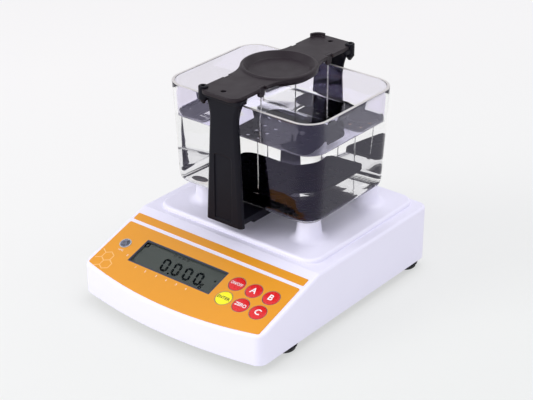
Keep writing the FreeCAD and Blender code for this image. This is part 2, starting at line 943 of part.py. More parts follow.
def tank_stand():
    """The raised tray, with its four tapering columns moulded on."""
    stand = Piece("tray_and_columns")
    half = half_width - d.tray_side
    points, arcs = rounded(-half, tray_front, half, tray_back, d.tray_corner)
    stand.pad(stand.sketch(points, arcs, offset=top_z), d.tray_thick)
    stand.fillet(d.tray_edge, at_height(tray_top))
    doc.recompute()
    columns = [stand.body]
    for number, (x, y) in enumerate(column_spots()):
        column = Piece(f"column_{number}")
        foot = d.column_foot_dia / 2
        head = d.column_top_dia / 2
        flare = foot + d.column_fillet
        profile = [
            (ZERO, top_z + 1),
            (flare, top_z + 1),
            (flare, tray_top),
            (foot, tray_top + d.column_fillet),
            (head, tank_floor_z - d.column_round),
            (head - d.column_round, tank_floor_z),
            (ZERO, tank_floor_z),
        ]
        column.turn(profile, {2: -d.column_fillet, 4: d.column_round})
        place(column.body, x, y)
        columns.append(column.body)
    solid = fuse("tank_stand_solid", columns)
    stem_hole = d.stem_dia / 2 + d.stem_clear
    tools = [part_cylinder("stem_way", 0, hub_y, top_z - 1, stem_hole, d.tray_thick + 2)]
    for number, (x, y) in enumerate(column_spots()):
        name = f"column_pilot_{number}"
        depth = d.tray_screw_grip + d.pilot_spare
        tools.append(part_cylinder(name, x, y, top_z - 1, d.screw_dia / 2, depth))
    return keep(cut("tank_stand", solid, tools))


def tank_block(label, height, inset, top):
    """The tank's outside, or, with an inset, the room inside it.

    The outline is drawn at this height above the tank's floor, and the walls
    lean outwards all round up to the top.
    """
    block = Piece(label)
    lean = d.tank_taper / d.tank_height
    trim = (d.tank_taper - lean * height + inset) * 2
    width = d.tank_width - trim
    depth = d.tank_depth - trim
    radius = d.tank_corner - trim / 2
    points, arcs = rounded_around(ZERO, tank_y, width, depth, radius)
    low = tank_floor_z + height
    solid = block.pad(block.sketch(points, arcs, offset=low), top - height)
    tie(solid, TaperAngle=arctangent(lean))
    block.fillet(d.tank_edge - inset, at_height(low))
    return block


def water_tank():
    """A clear moulded tank: tapered walls, round corners and a rounded bottom edge."""
    outside = tank_block("tank_outside", ZERO, ZERO, d.tank_height)
    room = tank_block("tank_room", d.tank_wall, d.tank_wall, d.tank_height + 2)
    return keep(cut("water_tank", outside.body, [room.body]))


# ------------------------------------------------------------------ panel


def panel_overlay():
    """The printed main overlay, its front edge following the bowed front."""
    overlay = Piece("panel_overlay")
    half = overlay_half
    radius = bow_radius - d.overlay_margin
    side_run = (crease_y - bow_centre_y + root(radius * radius - half * half)) / slope_cos
    mid_run = (crease_y - bow_centre_y + radius) / slope_cos
    bow = mid_run - side_run
    front_radius = (half * half + bow * bow) / (bow * 2)
    plan = rectangle(-half, -side_run, half, -overlay_top)
    overlay.pad(overlay.sketch(plan, {0: front_radius}), d.skin_thick)
    overlay.fillet(d.overlay_round, upright)
    window = overlay.sketch(lcd_outline(ZERO), offset=d.skin_thick + 1)
    overlay.pocket(window, d.skin_thick + 2)
    holes = [(x, -run, key_hole) for _, x, run in key_places]
    holes.append((level_x, -level_run, level_hole))
    overlay.pocket(overlay.sketch(circles=holes, offset=d.skin_thick + 1), d.skin_thick + 2)
    on_panel(overlay.body)
    return keep(overlay)


def title_strip():
    """The narrow strip above the main overlay."""
    strip = Piece("title_strip")
    strip_low = overlay_top - d.strip_gap
    strip_high = strip_low - d.strip_length
    plan = rectangle(-overlay_half, -strip_low, overlay_half, -strip_high)
    strip.pad(strip.sketch(plan), d.skin_thick)
    strip.fillet(d.overlay_round / 2, upright)
    on_panel(strip.body)
    return keep(strip)


def display():
    """Window pane, LCD cell and its backlight, one behind the other, in a frame."""
    lip = d.lcd_lip - d.fit_gap
    pane_top = ZERO
    cell_top = -d.window_thick - TINY
    light_top = cell_top - d.cell_thick
    layers = (
        ("lcd_window", pane_top, d.window_thick),
        ("lcd_cell", cell_top, d.cell_thick),
        ("lcd_backlight", light_top, d.backlight_thick),
    )
    for label, top, thick in layers:
        layer = Piece(label)
        layer.pad(layer.sketch(lcd_outline(lip), offset=top), thick, down=True)
        on_panel(layer.body)
        keep(layer)
    frame = Piece("lcd_frame")
    frame_top = -d.shell_wall
    height = d.board_drop - d.shell_wall
    outer = frame.sketch(lcd_outline(lip + d.frame_ring), offset=frame_top)
    frame.pad(outer, height, down=True)
    inner = frame.sketch(lcd_outline(lip + d.pad_gap / 2), offset=frame_top + 1)
    frame.pocket(inner, height + 2)
    on_panel(frame.body)
    keep(frame)


def key(label, x, run):
    """A key cap: a low domed head, a flange that keeps it in, and a short stem."""
    cap = Piece(label)
    flange_top = key_flange_top
    flange_low = flange_top - d.key_flange_thick
    wide = key_radius + d.key_flange
    stem = d.key_stem_dia / 2
    head = d.skin_thick + d.key_rise
    profile = [
        (ZERO, flange_low - d.key_stem_length),
        (stem, flange_low - d.key_stem_length),
        (stem, flange_low),
        (wide, flange_low),
        (wide, flange_top),
        (key_radius, flange_top),
        (key_radius, head - d.key_round),
        (key_radius - d.key_round, head),
        (ZERO, head),
    ]
    cap.turn(profile, {6: d.key_round})
    on_panel(cap.body, x, run)
    return keep(cap)


def key_switches():
    """Six tactile switches on the display board, one under each key."""
    stem_end = key_flange_top - d.key_flange_thick - d.key_stem_length
    plunger_top = stem_end - d.key_travel - d.pad_gap / 2
    body_low = -d.board_drop
    switch = Piece("key_switch")
    half = d.switch_side / 2
    plan = rectangle(-half, -half, half, half)
    switch.pad(switch.sketch(plan, offset=body_low), d.switch_body)
    top = body_low + d.switch_body
    plunger = switch.sketch(circles=[(ZERO, ZERO, d.plunger_dia / 2)], offset=top)
    switch.pad(plunger, plunger_top - top)
    on_panel(switch.body)
    places = [
        (float(x), -float(run * slope_cos), -float(run * slope_sin)) for _, x, run in key_places
    ]
    return keep(group("key_switches", switch.body, places))


def display_board():
    """The board behind the panel that carries the LCD and the key switches."""
    board = Piece("display_board")
    plan = rectangle(board_left, -board_low_run, board_right, -board_top_run)
    board.pad(board.sketch(plan, offset=-d.board_drop), d.board_thick, down=True)
    holes = [(x, -run, d.screw_dia / 2 + d.shaft_gap) for x, run in board_posts]
    board.pocket(board.sketch(circles=holes, offset=-d.board_drop + 1), d.board_thick + 2)
    on_panel(board.body)
    return keep(board)


def screw(label, shank_dia, length, head_dia, head, head_up=False):
    """A pan-head screw: its head's inner face at zero, its shank upwards.

    With head_up the head is above and the shank points down.
    """
    pin = Piece(label)
    shank = shank_dia / 2
    wide = head_dia / 2
    sign = -1 if head_up else 1
    profile = [
        (ZERO, -head * sign),
        (wide - 0.4, -head * sign),
        (wide, (0.4 - head) * sign),
        (wide, ZERO),
        (shank, ZERO),
        (shank, (length - 0.5) * sign),
        (shank - 0.5, length * sign),
        (ZERO, length * sign),
    ]
    pin.turn(profile)
    return pin


def fasteners():
    """The screws that hold the boards, the case and the tray."""
    thread = d.screw_dia - 0.1
    length = d.board_thick + d.board_screw_grip
    short = screw("board_screw", thread, length, d.screw_head_dia, d.screw_head)
    on_panel(short.body, ZERO, ZERO, -d.board_drop - d.board_thick)
    places = [
        (float(x), -float(run * slope_cos), -float(run * slope_sin)) for x, run in board_posts
    ]
    keep(group("display_board_screws", short.body, places))

    length = d.board_thick + d.main_screw_grip
    down = screw("main_screw", thread, length, d.screw_head_dia, d.screw_head, head_up=True)
    place(down.body, z=main_z + d.board_thick)
    places = [(float(x), float(y), 0) for x, y in main_board_spots()]
    keep(group("main_board_screws", down.body, places))

    length = d.plate_thick + d.case_screw_grip
    low = screw("case_screw", thread, length, d.screw_head_dia, d.screw_head)
    place(low.body, z=plate_z)
    places = [(s * float(x), float(y), 0) for s in (-1, 1) for x, y in case_bosses]
    keep(group("case_screws", low.body, places))

    length = d.shell_wall + d.tray_screw_grip
    up = screw("tray_screw", thread, length, d.screw_head_dia, d.screw_head)
    place(up.body, z=ceiling_z)
    places = [(float(x), float(y), 0) for x, y in column_spots()]
    keep(group("tray_screws", up.body, places))


def level():
    """The round spirit level: a metal cup and a clear vial with a domed top."""
    cup_radius = d.level_dia / 2
    wall = d.level_wall
    top = d.skin_thick + d.level_rise
    cup = Piece("level_cup")
    cup.turn(
        [
            (ZERO, -d.level_depth),
            (cup_radius, -d.level_depth),
            (cup_radius, top),
            (cup_radius - wall, top),
            (cup_radius - wall, wall - d.level_depth),
            (ZERO, wall - d.level_depth),
        ]
    )
    on_panel(cup.body, level_x, level_run)
    keep(cup)
    vial = Piece("level_vial")
    radius = cup_radius - wall - d.shaft_gap
    low = wall - d.level_depth
    dome = d.level_dome
    dome_radius = (radius * radius + dome * dome) / (dome * 2)
    shoulder = top - d.level_rise
    vial.turn(
        [(ZERO, low), (radius, low), (radius, shoulder), (ZERO, shoulder + dome)],
        {2: dome_radius},
    )
    on_panel(vial.body, level_x, level_run)
    keep(vial)


# ------------------------------------------------------------------ load cell

cell_low = deck_z + d.foot_block_thick
cell_top = cell_low + d.cell_side
cell_front = hub_y - d.cell_length / 2
cell_back = hub_y + d.cell_length / 2
bracket_low = cell_top + d.spacer_thick
bracket_top = bracket_low + d.bracket_thick


def fixed_bolt_spots():
    """The two bolts that hold the load cell's rear end down."""
    last = cell_back - d.cell_end
    return [(ZERO, last - d.cell_screw_pitch), (ZERO, last)]


def free_bolt_spots():
    """The two bolts that hold the bracket on the load cell's front end."""
    first = cell_front + d.cell_end
    return [(ZERO, first), (ZERO, first + d.cell_screw_pitch)]


def overload_spot():
    """The stop screw under the load cell's free end."""
    return (ZERO, cell_front + d.cell_end + d.cell_screw_pitch / 2)


def load_cell():
    """An aluminium single-point cell, with the twin bores that let it bend."""
    bar = Piece("load_cell")
    half = d.cell_side / 2
    plan = rectangle(-half, cell_front, half, cell_back)
    bar.pad(bar.sketch(plan, offset=cell_low), d.cell_side)
    mid_z = cell_low + half
    beans = [
        (hub_y - d.cell_bean_pitch / 2, mid_z, d.cell_bean_dia / 2),
        (hub_y + d.cell_bean_pitch / 2, mid_z, d.cell_bean_dia / 2),
    ]
    side = bar.sketch(circles=beans, plane="YZ_Plane")
    bar.pocket(side, d.cell_side * 2, both=True)
    slot = rectangle(
        hub_y - d.cell_bean_pitch / 2,
        mid_z - d.cell_slot / 2,
        hub_y + d.cell_bean_pitch / 2,
        mid_z + d.cell_slot / 2,
    )
    bar.pocket(bar.sketch(slot, plane="YZ_Plane"), d.cell_side * 2, both=True)
    radius = d.bolt_dia / 2 + d.shaft_gap
    low_holes = [(x, y, radius) for x, y in fixed_bolt_spots()]
    bar.pocket(bar.sketch(circles=low_holes, offset=cell_low), d.cell_hole_depth, up=True)
    high_holes = [(x, y, radius) for x, y in free_bolt_spots()]
    bar.pocket(bar.sketch(circles=high_holes, offset=cell_top), d.cell_hole_depth)
    return keep(bar)


def load_path():
    """What carries the load cell, and what it carries up to the tray's opening."""
    half = d.foot_block / 2
    block = Piece("load_cell_foot")
    plan = rectangle(-half, cell_back - d.foot_block, half, cell_back)
    block.pad(block.sketch(plan, offset=deck_z), d.foot_block_thick)
    radius = d.bolt_dia / 2 + d.shaft_gap
    holes = [(x, y, radius) for x, y in fixed_bolt_spots()]
    block.pocket(block.sketch(circles=holes, offset=deck_z), d.foot_block_thick, up=True)
    keep(block)

    spacer = Piece("free_end_spacer")
    half = d.cell_side / 2
    plan = rectangle(-half, cell_front, half, cell_front + d.spacer_length)
    spacer.pad(spacer.sketch(plan, offset=cell_top), d.spacer_thick)
    holes = [(x, y, radius) for x, y in free_bolt_spots()]
    spacer.pocket(spacer.sketch(circles=holes, offset=cell_top), d.spacer_thick, up=True)
    keep(spacer)

    bracket = Piece("load_bracket")
    half = d.bracket_width / 2
    points, arcs = rounded(
        -half, cell_front, half, hub_y + d.bracket_reach, Size.of(4)
    )
    bracket.pad(bracket.sketch(points, arcs, offset=bracket_low), d.bracket_thick)
    holes = [(x, y, radius) for x, y in free_bolt_spots()]
    holes.append((ZERO, hub_y, radius))
    bracket.pocket(
        bracket.sketch(circles=holes, offset=bracket_low), d.bracket_thick, up=True
    )
    keep(bracket)

    stem = Piece("weighing_stem")
    wide = d.stem_dia / 2
    stem.turn(
        [
            (d.bolt_dia / 2, bracket_top),
            (wide, bracket_top),
            (wide, bar_low),
            (d.bolt_dia / 2, bar_low),
        ]
    )
    place(stem.body, y=hub_y)
    keep(stem)

    thread = d.bolt_dia - 0.1
    length = d.plate_thick + d.fixed_bolt_grip
    bolt = screw("fixed_bolt", thread, length, d.bolt_head_dia, d.bolt_head)
    place(bolt.body, z=plate_z)
    places = [(float(x), float(y), 0) for x, y in fixed_bolt_spots()]
    keep(group("load_cell_fixed_screws", bolt.body, places))
    length = d.bracket_thick + d.spacer_thick + d.free_bolt_grip
    bolt = screw("free_bolt", thread, length, d.bolt_head_dia, d.bolt_head, head_up=True)
    place(bolt.body, z=bracket_top)
    places = [(float(x), float(y), 0) for x, y in free_bolt_spots()]
    keep(group("load_cell_free_screws", bolt.body, places))

    thin = thread - 0.1
    length = d.bracket_thick + d.stem_bolt_grip
    low = screw("stem_screw", thin, length, d.bolt_head_dia, d.bolt_head)
    place(low.body, y=hub_y, z=bracket_low)
    length = d.bar_thick + d.stem_bolt_grip
    high = screw("hub_screw", thin, length, d.bolt_head_dia, d.bolt_head, head_up=True)
    place(high.body, y=hub_y, z=bar_top - d.bolt_head)
    pair = doc.addObject("Part::Compound", "stem_screws")
    pair.Links = [low.body, high.body]
    keep(pair)

    x, y = overload_spot()
    stop = Piece("overload_stop")
    thin = thread / 2
    nut = d.bolt_head_dia / 2
    stop.turn(
        [
            (ZERO, plate_z + 0.5),
            (thin, plate_z + 0.5),
            (thin, deck_z),
            (nut, deck_z),
            (nut, deck_z + d.nut_thick),
            (thin, deck_z + d.nut_thick),
            (thin, cell_low - d.overload_gap),
            (ZERO, cell_low - d.overload_gap),
        ]
    )
    place(stop.body, x, y)
    keep(stop)


# ------------------------------------------------------------------ weighing frame


def toe_screw_spots():
    """Two screws at each end of the cross bar."""
    y = leg_out - d.leg_thick - d.toe_reach / 2
    return [(sx * d.toe_screw_x, hub_y + sy * y) for sx in (-1, 1) for sy in (-1, 1)]


def cross_bar():
    """The bar that passes under the tank and joins the two legs."""
    bar = Piece("cross_bar")
    half = d.leg_foot_width / 2 - 1
    reach = leg_out - d.leg_thick - TINY
    plan = rectangle(-half, hub_y - reach, half, hub_y + reach)
    bar.pad(bar.sketch(plan, offset=bar_low), d.bar_thick)
    toe = leg_out - d.leg_thick - d.toe_reach - d.fit_gap
    cover = half + 1
    for low, high in ((-reach - 1, -toe), (toe, reach + 1)):
        step = rectangle(-cover, hub_y + low, cover, hub_y + high)
        bar.pocket(bar.sketch(step, offset=bar_low), d.toe_thick + TINY, up=True)
    holes = [(x, y, d.screw_dia / 2) for x, y in toe_screw_spots()]
    pilots = bar.sketch(circles=holes, offset=bar_low + d.toe_thick)
    bar.pocket(pilots, d.bar_thick - d.toe_thick - 1, up=True)
    seat = [(ZERO, hub_y, d.bolt_head_dia / 2 + d.shaft_gap)]
    bar.pocket(bar.sketch(circles=seat, offset=bar_top), d.bolt_head)
    hole = [(ZERO, hub_y, d.bolt_dia / 2)]
    bar.pocket(bar.sketch(circles=hole, offset=bar_top), d.bar_thick)
    return keep(bar)


def leg(label, side):
    """A leg: broad at its foot, waisted below the collar, with a sunk front panel.

    side is -1 for the front leg and 1 for the rear one. A toe at its foot goes
    under the cross bar. A pin on its collar locates the beam, and so does a
    round post at one corner, hollow at its top.
    """
    flare = d.flare_height
    spread = (d.leg_head_width - d.leg_waist_width) / 2
    rise = leg_waist_z - bar_low
    lean = (d.leg_foot_width - d.leg_waist_width) / 2
    slant = root(rise * rise + lean * lean)
    # the flare leaves the leg's straight side at a tangent
    sweep = (flare * flare + spread * spread) * slant / ((spread * rise + flare * lean) * 2)
    foot = d.leg_foot_width / 2
    waist = d.leg_waist_width / 2
    head = d.leg_head_width / 2
    collar = d.collar_width / 2
    outline = [
        (-foot, bar_low),
        (foot, bar_low),
        (waist, leg_waist_z),
        (head, leg_head_z),
        (-head, leg_head_z),
        (-waist, leg_waist_z),
    ]
    plate = Piece(f"{label}_plate")
    sketch = plate.sketch(outline, {2: -sweep, 4: -sweep}, plane="XZ_Plane")
    plate.pad(sketch, d.leg_thick)
    outer = hub_y + side * leg_out
    inner = outer - side * d.leg_thick
    # the XZ plane's own normal is -Y, so the plate lies towards -Y of its place
    place(plate.body, y=inner if side < 0 else outer)
    doc.recompute()
    face_y = 0.0 if side > 0 else -float(d.leg_thick)

    def outer_edge(edge):
        box = edge.BoundBox
        on_face = abs(box.YMin - face_y) < 1e-3 and abs(box.YMax - face_y) < 1e-3
        return on_face and box.ZLength > 5

    plate.fillet(d.leg_thick * 0.8, outer_edge)
    collar_y = hub_y + side * (leg_out - d.leg_thick / 2)
    head_block = Piece(f"{label}_collar")
    points, arcs = rounded_around(
        ZERO, collar_y, collar * 2, d.collar_depth, d.collar_round
    )
    head_block.pad(
        head_block.sketch(points, arcs, offset=leg_head_z), beam_low - leg_head_z
    )
    toe = part_box(
        f"{label}_toe",
        -waist,
        inner if side < 0 else inner - d.toe_reach,
        bar_low,
        waist * 2,
        d.toe_reach,
        d.toe_thick,
    )
    pin_y = hub_y + side * pin_out
    pin = part_cylinder(
        f"{label}_pin",
        0,
        pin_y,
        beam_low - 1,
        d.pin_dia / 2,
        d.beam_thick - 0.2,
    )
    post = Piece(f"{label}_post")
    wide = d.post_dia / 2
    hollow = d.post_hole_dia / 2
    post_top = beam_top + d.post_rise
    post_low = beam_low - d.post_drop
    post.turn(
        [
            (ZERO, post_low - d.post_tip),
            (wide / 3, post_low - d.post_tip),
            (wide, post_low),
            (wide, post_top - 0.6),
            (wide - 0.6, post_top),
            (hollow, post_top),
            (hollow, post_top - d.post_hole_depth),
            (ZERO, post_top - d.post_hole_depth),
        ]
    )
    # the two legs are half a turn apart, and so are their posts
    half_turn = Rotation(Vector(0, 0, 1), 90 - 90 * side)
    post.body.Placement = Placement(Vector(), half_turn)
    place(post.body, side * post_out_x, hub_y + side * post_out_y)
    solid = fuse(f"{label}_solid", [plate.body, head_block.body, toe, pin, post.body])
    panel = Piece(f"{label}_panel")
    half = d.leg_panel_width / 2
    corner = d.leg_panel_round
    low = bar_low + d.leg_panel_low
    high = bar_low + d.leg_panel_high
    points = [
        (-half, low),
        (half, low),
        (half, high - corner),
        (half - corner, high),
        (corner - half, high),
        (-half, high - corner),
    ]
    sketch = panel.sketch(points, {2: corner, 4: corner}, plane="XZ_Plane")
    panel.pad(sketch, d.leg_panel_sink)
    sunk_y = outer + d.leg_panel_sink if side < 0 else outer
    place(panel.body, y=sunk_y)
    tools = [panel.body]
    for number, (x, y) in enumerate(toe_screw_spots()):
        if (float(y) - float(hub_y)) * side < 0:
            continue
        radius = d.screw_dia / 2 + d.shaft_gap
        name = f"{label}_screw_way_{number}"
        tools.append(part_cylinder(name, x, y, bar_low - 1, radius, d.toe_thick + 2))
        name = f"{label}_screw_seat_{number}"
        radius = d.screw_head_dia / 2 + d.shaft_gap
        depth = d.toe_screw_head + 1
        tools.append(part_cylinder(name, x, y, bar_low - 1, radius, depth))
    return keep(cut(label, solid, tools))


def frame_screws():
    """Four screws from below, through the legs' toes into the cross bar."""
    thread = d.screw_dia - 0.1
    pin = screw("toe_screw", thread, d.toe_screw_length, d.screw_head_dia, d.toe_screw_head)
    place(pin.body, z=bar_low + d.toe_screw_head)
    places = [(float(x), float(y), 0) for x, y in toe_screw_spots()]
    return keep(group("frame_screws", pin.body, places))


def top_beam():
    """The lift-off beam: a flat plate waisted into a round dish at its middle."""
    beam = Piece("beam_plate")
    half = d.beam_width / 2
    reach = beam_out
    points, arcs = rounded_around(ZERO, hub_y, d.beam_width, reach * 2, d.beam_corner)
    beam.pad(beam.sketch(points, arcs, offset=beam_low), d.beam_thick)
    dish_radius = d.dish_dia / 2
    blend = d.waist_blend
    span = dish_radius + blend
    offset = half + blend
    waist_y = root(span * span - offset * offset)
    touch_x = offset * dish_radius / span
    touch_y = waist_y * dish_radius / span
    waist = [
        (half - 1, -waist_y),
        (half, -waist_y),
        (touch_x, -touch_y),
        (touch_x, touch_y),
        (half, waist_y),
        (half - 1, waist_y),
    ]
    waists = []
    for name, sign in (("right", 1), ("left", -1)):
        cheek = Piece(f"beam_cheek_{name}")
        points = [(x * sign, y * sign) for x, y in waist]
        sketch = cheek.sketch(points, {1: -blend, 3: -blend}, offset=beam_low)
        cheek.pad(sketch, d.beam_thick)
        place(cheek.body, y=hub_y)
        waists.append(cheek.body)
    dish = Piece("dish")
    rim_top = beam_top + d.dish_rim_rise
    low = beam_top - d.dish_body
    floor_radius = d.dish_floor_dia / 2
    sunk = beam_top - d.dish_sink
    dish.turn(
        [
            (ZERO, low),
            (dish_radius - 4, low),
            (dish_radius, low + 3),
            (dish_radius, rim_top - 1.5),
            (dish_radius - 1.5, rim_top),
            (dish_radius - 2.5, rim_top),
            (floor_radius, sunk),
            (ZERO, sunk),
        ],
        {3: Size.of(1.5)},
    )
    place(dish.body, y=hub_y)
    bowl = Piece("dish_room")
    bowl.turn(
        [
            (ZERO, sunk),
            (floor_radius, sunk),
            (dish_radius - 2.5, rim_top),
            (dish_radius - 2.5, rim_top + 3),
            (ZERO, rim_top + 3),
        ]
    )
    place(bowl.body, y=hub_y)
    arc_tab = Piece("corner_tab")
    tab = d.tab_radius
    tab_top = beam_top + d.tab_rise
    arc_tab.turn(
        [
            (tab - d.tab_thick, beam_low),
            (tab, beam_low),
            (tab, tab_top),
            (tab - d.tab_thick, tab_top),
        ]
    )
    tab_x = tab - half - d.tab_proud
    tab_y = hub_y + reach - tab - d.tab_shift
    place(arc_tab.body, x=tab_x, y=tab_y)
    keep_out = part_box("tab_trim_x", tab_x + 1, tab_y - 20, beam_top - 10, 40, 40, 40)
    keep_back = part_box("tab_trim_y", tab_x - 20, tab_y - 40, beam_top - 10, 60, 40, 40)
    tab_piece = cut("corner_tab_quarter", arc_tab.body, [keep_out, keep_back])
    solid = fuse("beam_solid", [beam.body, *waists, dish.body, tab_piece])
    tools = [bowl.body]
    for number, side in enumerate((-1, 1)):
        radius = d.pin_dia / 2 + d.pin_gap
        y = hub_y + side * pin_out
        height = d.beam_thick + 2
        tools.append(part_cylinder(f"pin_hole_{number}", 0, y, beam_low - 1, radius, height))
    for number, (x, y) in enumerate(wire_spots()):
        inner = d.clip_thick / 2 + TINY
        notch_x = x - inner if float(x) > 0 else x - inner - d.wire_notch * 2
        notch = part_box(
            f"clip_notch_{number}",
            notch_x,
            y - d.clip_width / 2 - TINY,
            beam_low - 1,
            d.wire_notch * 2 + inner * 2,
            d.clip_width + TINY * 2,
            d.beam_thick + 4,
        )
        tools.append(notch)
    radius = d.post_dia / 2 + d.fit_gap
    height = d.beam_thick + 12
    for side, name in ((-1, "front"), (1, "rear")):
        x = side * post_out_x
        y = hub_y + side * post_out_y
        tools.append(part_cylinder(f"post_way_{name}", x, y, beam_low - 1, radius, height))
        left = x if side > 0 else x - radius * 2
        low = y if side > 0 else y - radius * 2
        corner = part_box(
            f"post_corner_{name}", left, low, beam_low - 1, radius * 2, radius * 2, height
        )
        tools.append(corner)
    return keep(cut("top_beam", solid, tools))


def wire_spots():
    """Where the four wires hang."""
    return [
        (side_x * wire_out_x, hub_y + side_y * wire_out_y)
        for side_x in (-1, 1)
        for side_y in (-1, 1)
    ]


WIRE_NAMES = ("front_left", "rear_left", "front_right", "rear_right")
clip_low = beam_low - d.clip_drop


def wire_clips():
    """Four round-ended tabs in the beam's notches; each holds the top of a wire."""
    clip = Piece("wire_clip")
    half = d.clip_width / 2
    bend = d.clip_round
    side_view = [
        (bend - half, clip_low),
        (half - bend, clip_low),
        (half, clip_low + bend),
        (half, beam_top),
        (-half, beam_top),
        (-half, clip_low + bend),
    ]
    sketch = clip.sketch(side_view, {1: bend, 5: bend}, plane="YZ_Plane")
    clip.pad(sketch, d.clip_thick, both=True)
    hole = [(ZERO, ZERO, d.wire_dia / 2 + d.shaft_gap)]
    clip.pocket(clip.sketch(circles=hole, offset=clip_low), d.clip_grip + 1, up=True)
    places = [(float(x), float(y), 0) for x, y in wire_spots()]
    return keep(group("wire_clips", clip.body, places))


def hanger_wires():
    """Four stainless wires, straight down to a small hook under the pan."""
    pan_low = float(pan_top - d.pan_thick)
    radius = float(d.wire_dia) / 2
    top = float(clip_low + d.clip_grip)
    bend = radius * 2
    drop = pan_low - bend
    for name, (x, y) in zip(WIRE_NAMES, wire_spots()):
        inward = -1 if float(x) > 0 else 1
        start = Vector(float(x), float(y), top)
        corner = Vector(float(x), float(y), drop)
        end = corner + Vector(inward * float(d.hook_length), 0, 0)
        before = corner + Vector(0, 0, bend)
        after = corner + Vector(inward * bend, 0, 0)
        middle = corner + Vector(inward * bend, 0, bend)
        middle = middle + (corner - middle).normalize() * bend
        path = Part.Wire(
            [
                Part.LineSegment(start, before).toShape(),
                Part.Arc(before, middle, after).toShape(),
                Part.LineSegment(after, end).toShape(),
            ]
        )
        ring = Part.Wire(Part.Circle(start, Vector(0, 0, 1), radius).toShape())
        wire = doc.addObject("Part::Feature", f"hanger_wire_{name}")
        wire.Label = f"hanger_wire_{name}"
        wire.Shape = path.makePipeShell([ring], True, False)
        keep(wire)


def pan():
    """The perforated pan that hangs in the water, with a lug for each wire."""
    plate = Piece("pan_plate")
    low = pan_top - d.pan_thick
    points, arcs = rounded_around(ZERO, hub_y, d.pan_width, pan_out_y * 2, d.pan_corner)
    plate.pad(plate.sketch(points, arcs, offset=low), d.pan_thick)
    lugs = [plate.body]
    for number, (x, y) in enumerate(wire_spots()):
        lug = Piece(f"pan_lug_{number}")
        points, arcs = rounded_around(
            x, y, d.pan_lug_width, d.pan_lug * 2, d.pan_lug * 0.9
        )
        lug.pad(lug.sketch(points, arcs, offset=low), d.pan_thick)
        lugs.append(lug.body)
    solid = fuse("pan_solid", lugs)
    drill = Piece("pan_drill")
    pitch = d.pan_hole_pitch
    holes = [
        (pitch * column, hub_y + pitch * row, d.pan_hole_dia / 2)
        for column in (-2, -1, 0, 1, 2)
        for row in (-2, -1, 0, 1, 2)
    ]
    holes += [(x, y, d.wire_dia / 2 + d.shaft_gap) for x, y in wire_spots()]
    drill.pad(drill.sketch(circles=holes, offset=low - 1), d.pan_thick + 2)
    return keep(cut("water_pan", solid, [drill.body]))


# ------------------------------------------------------------------ electronics


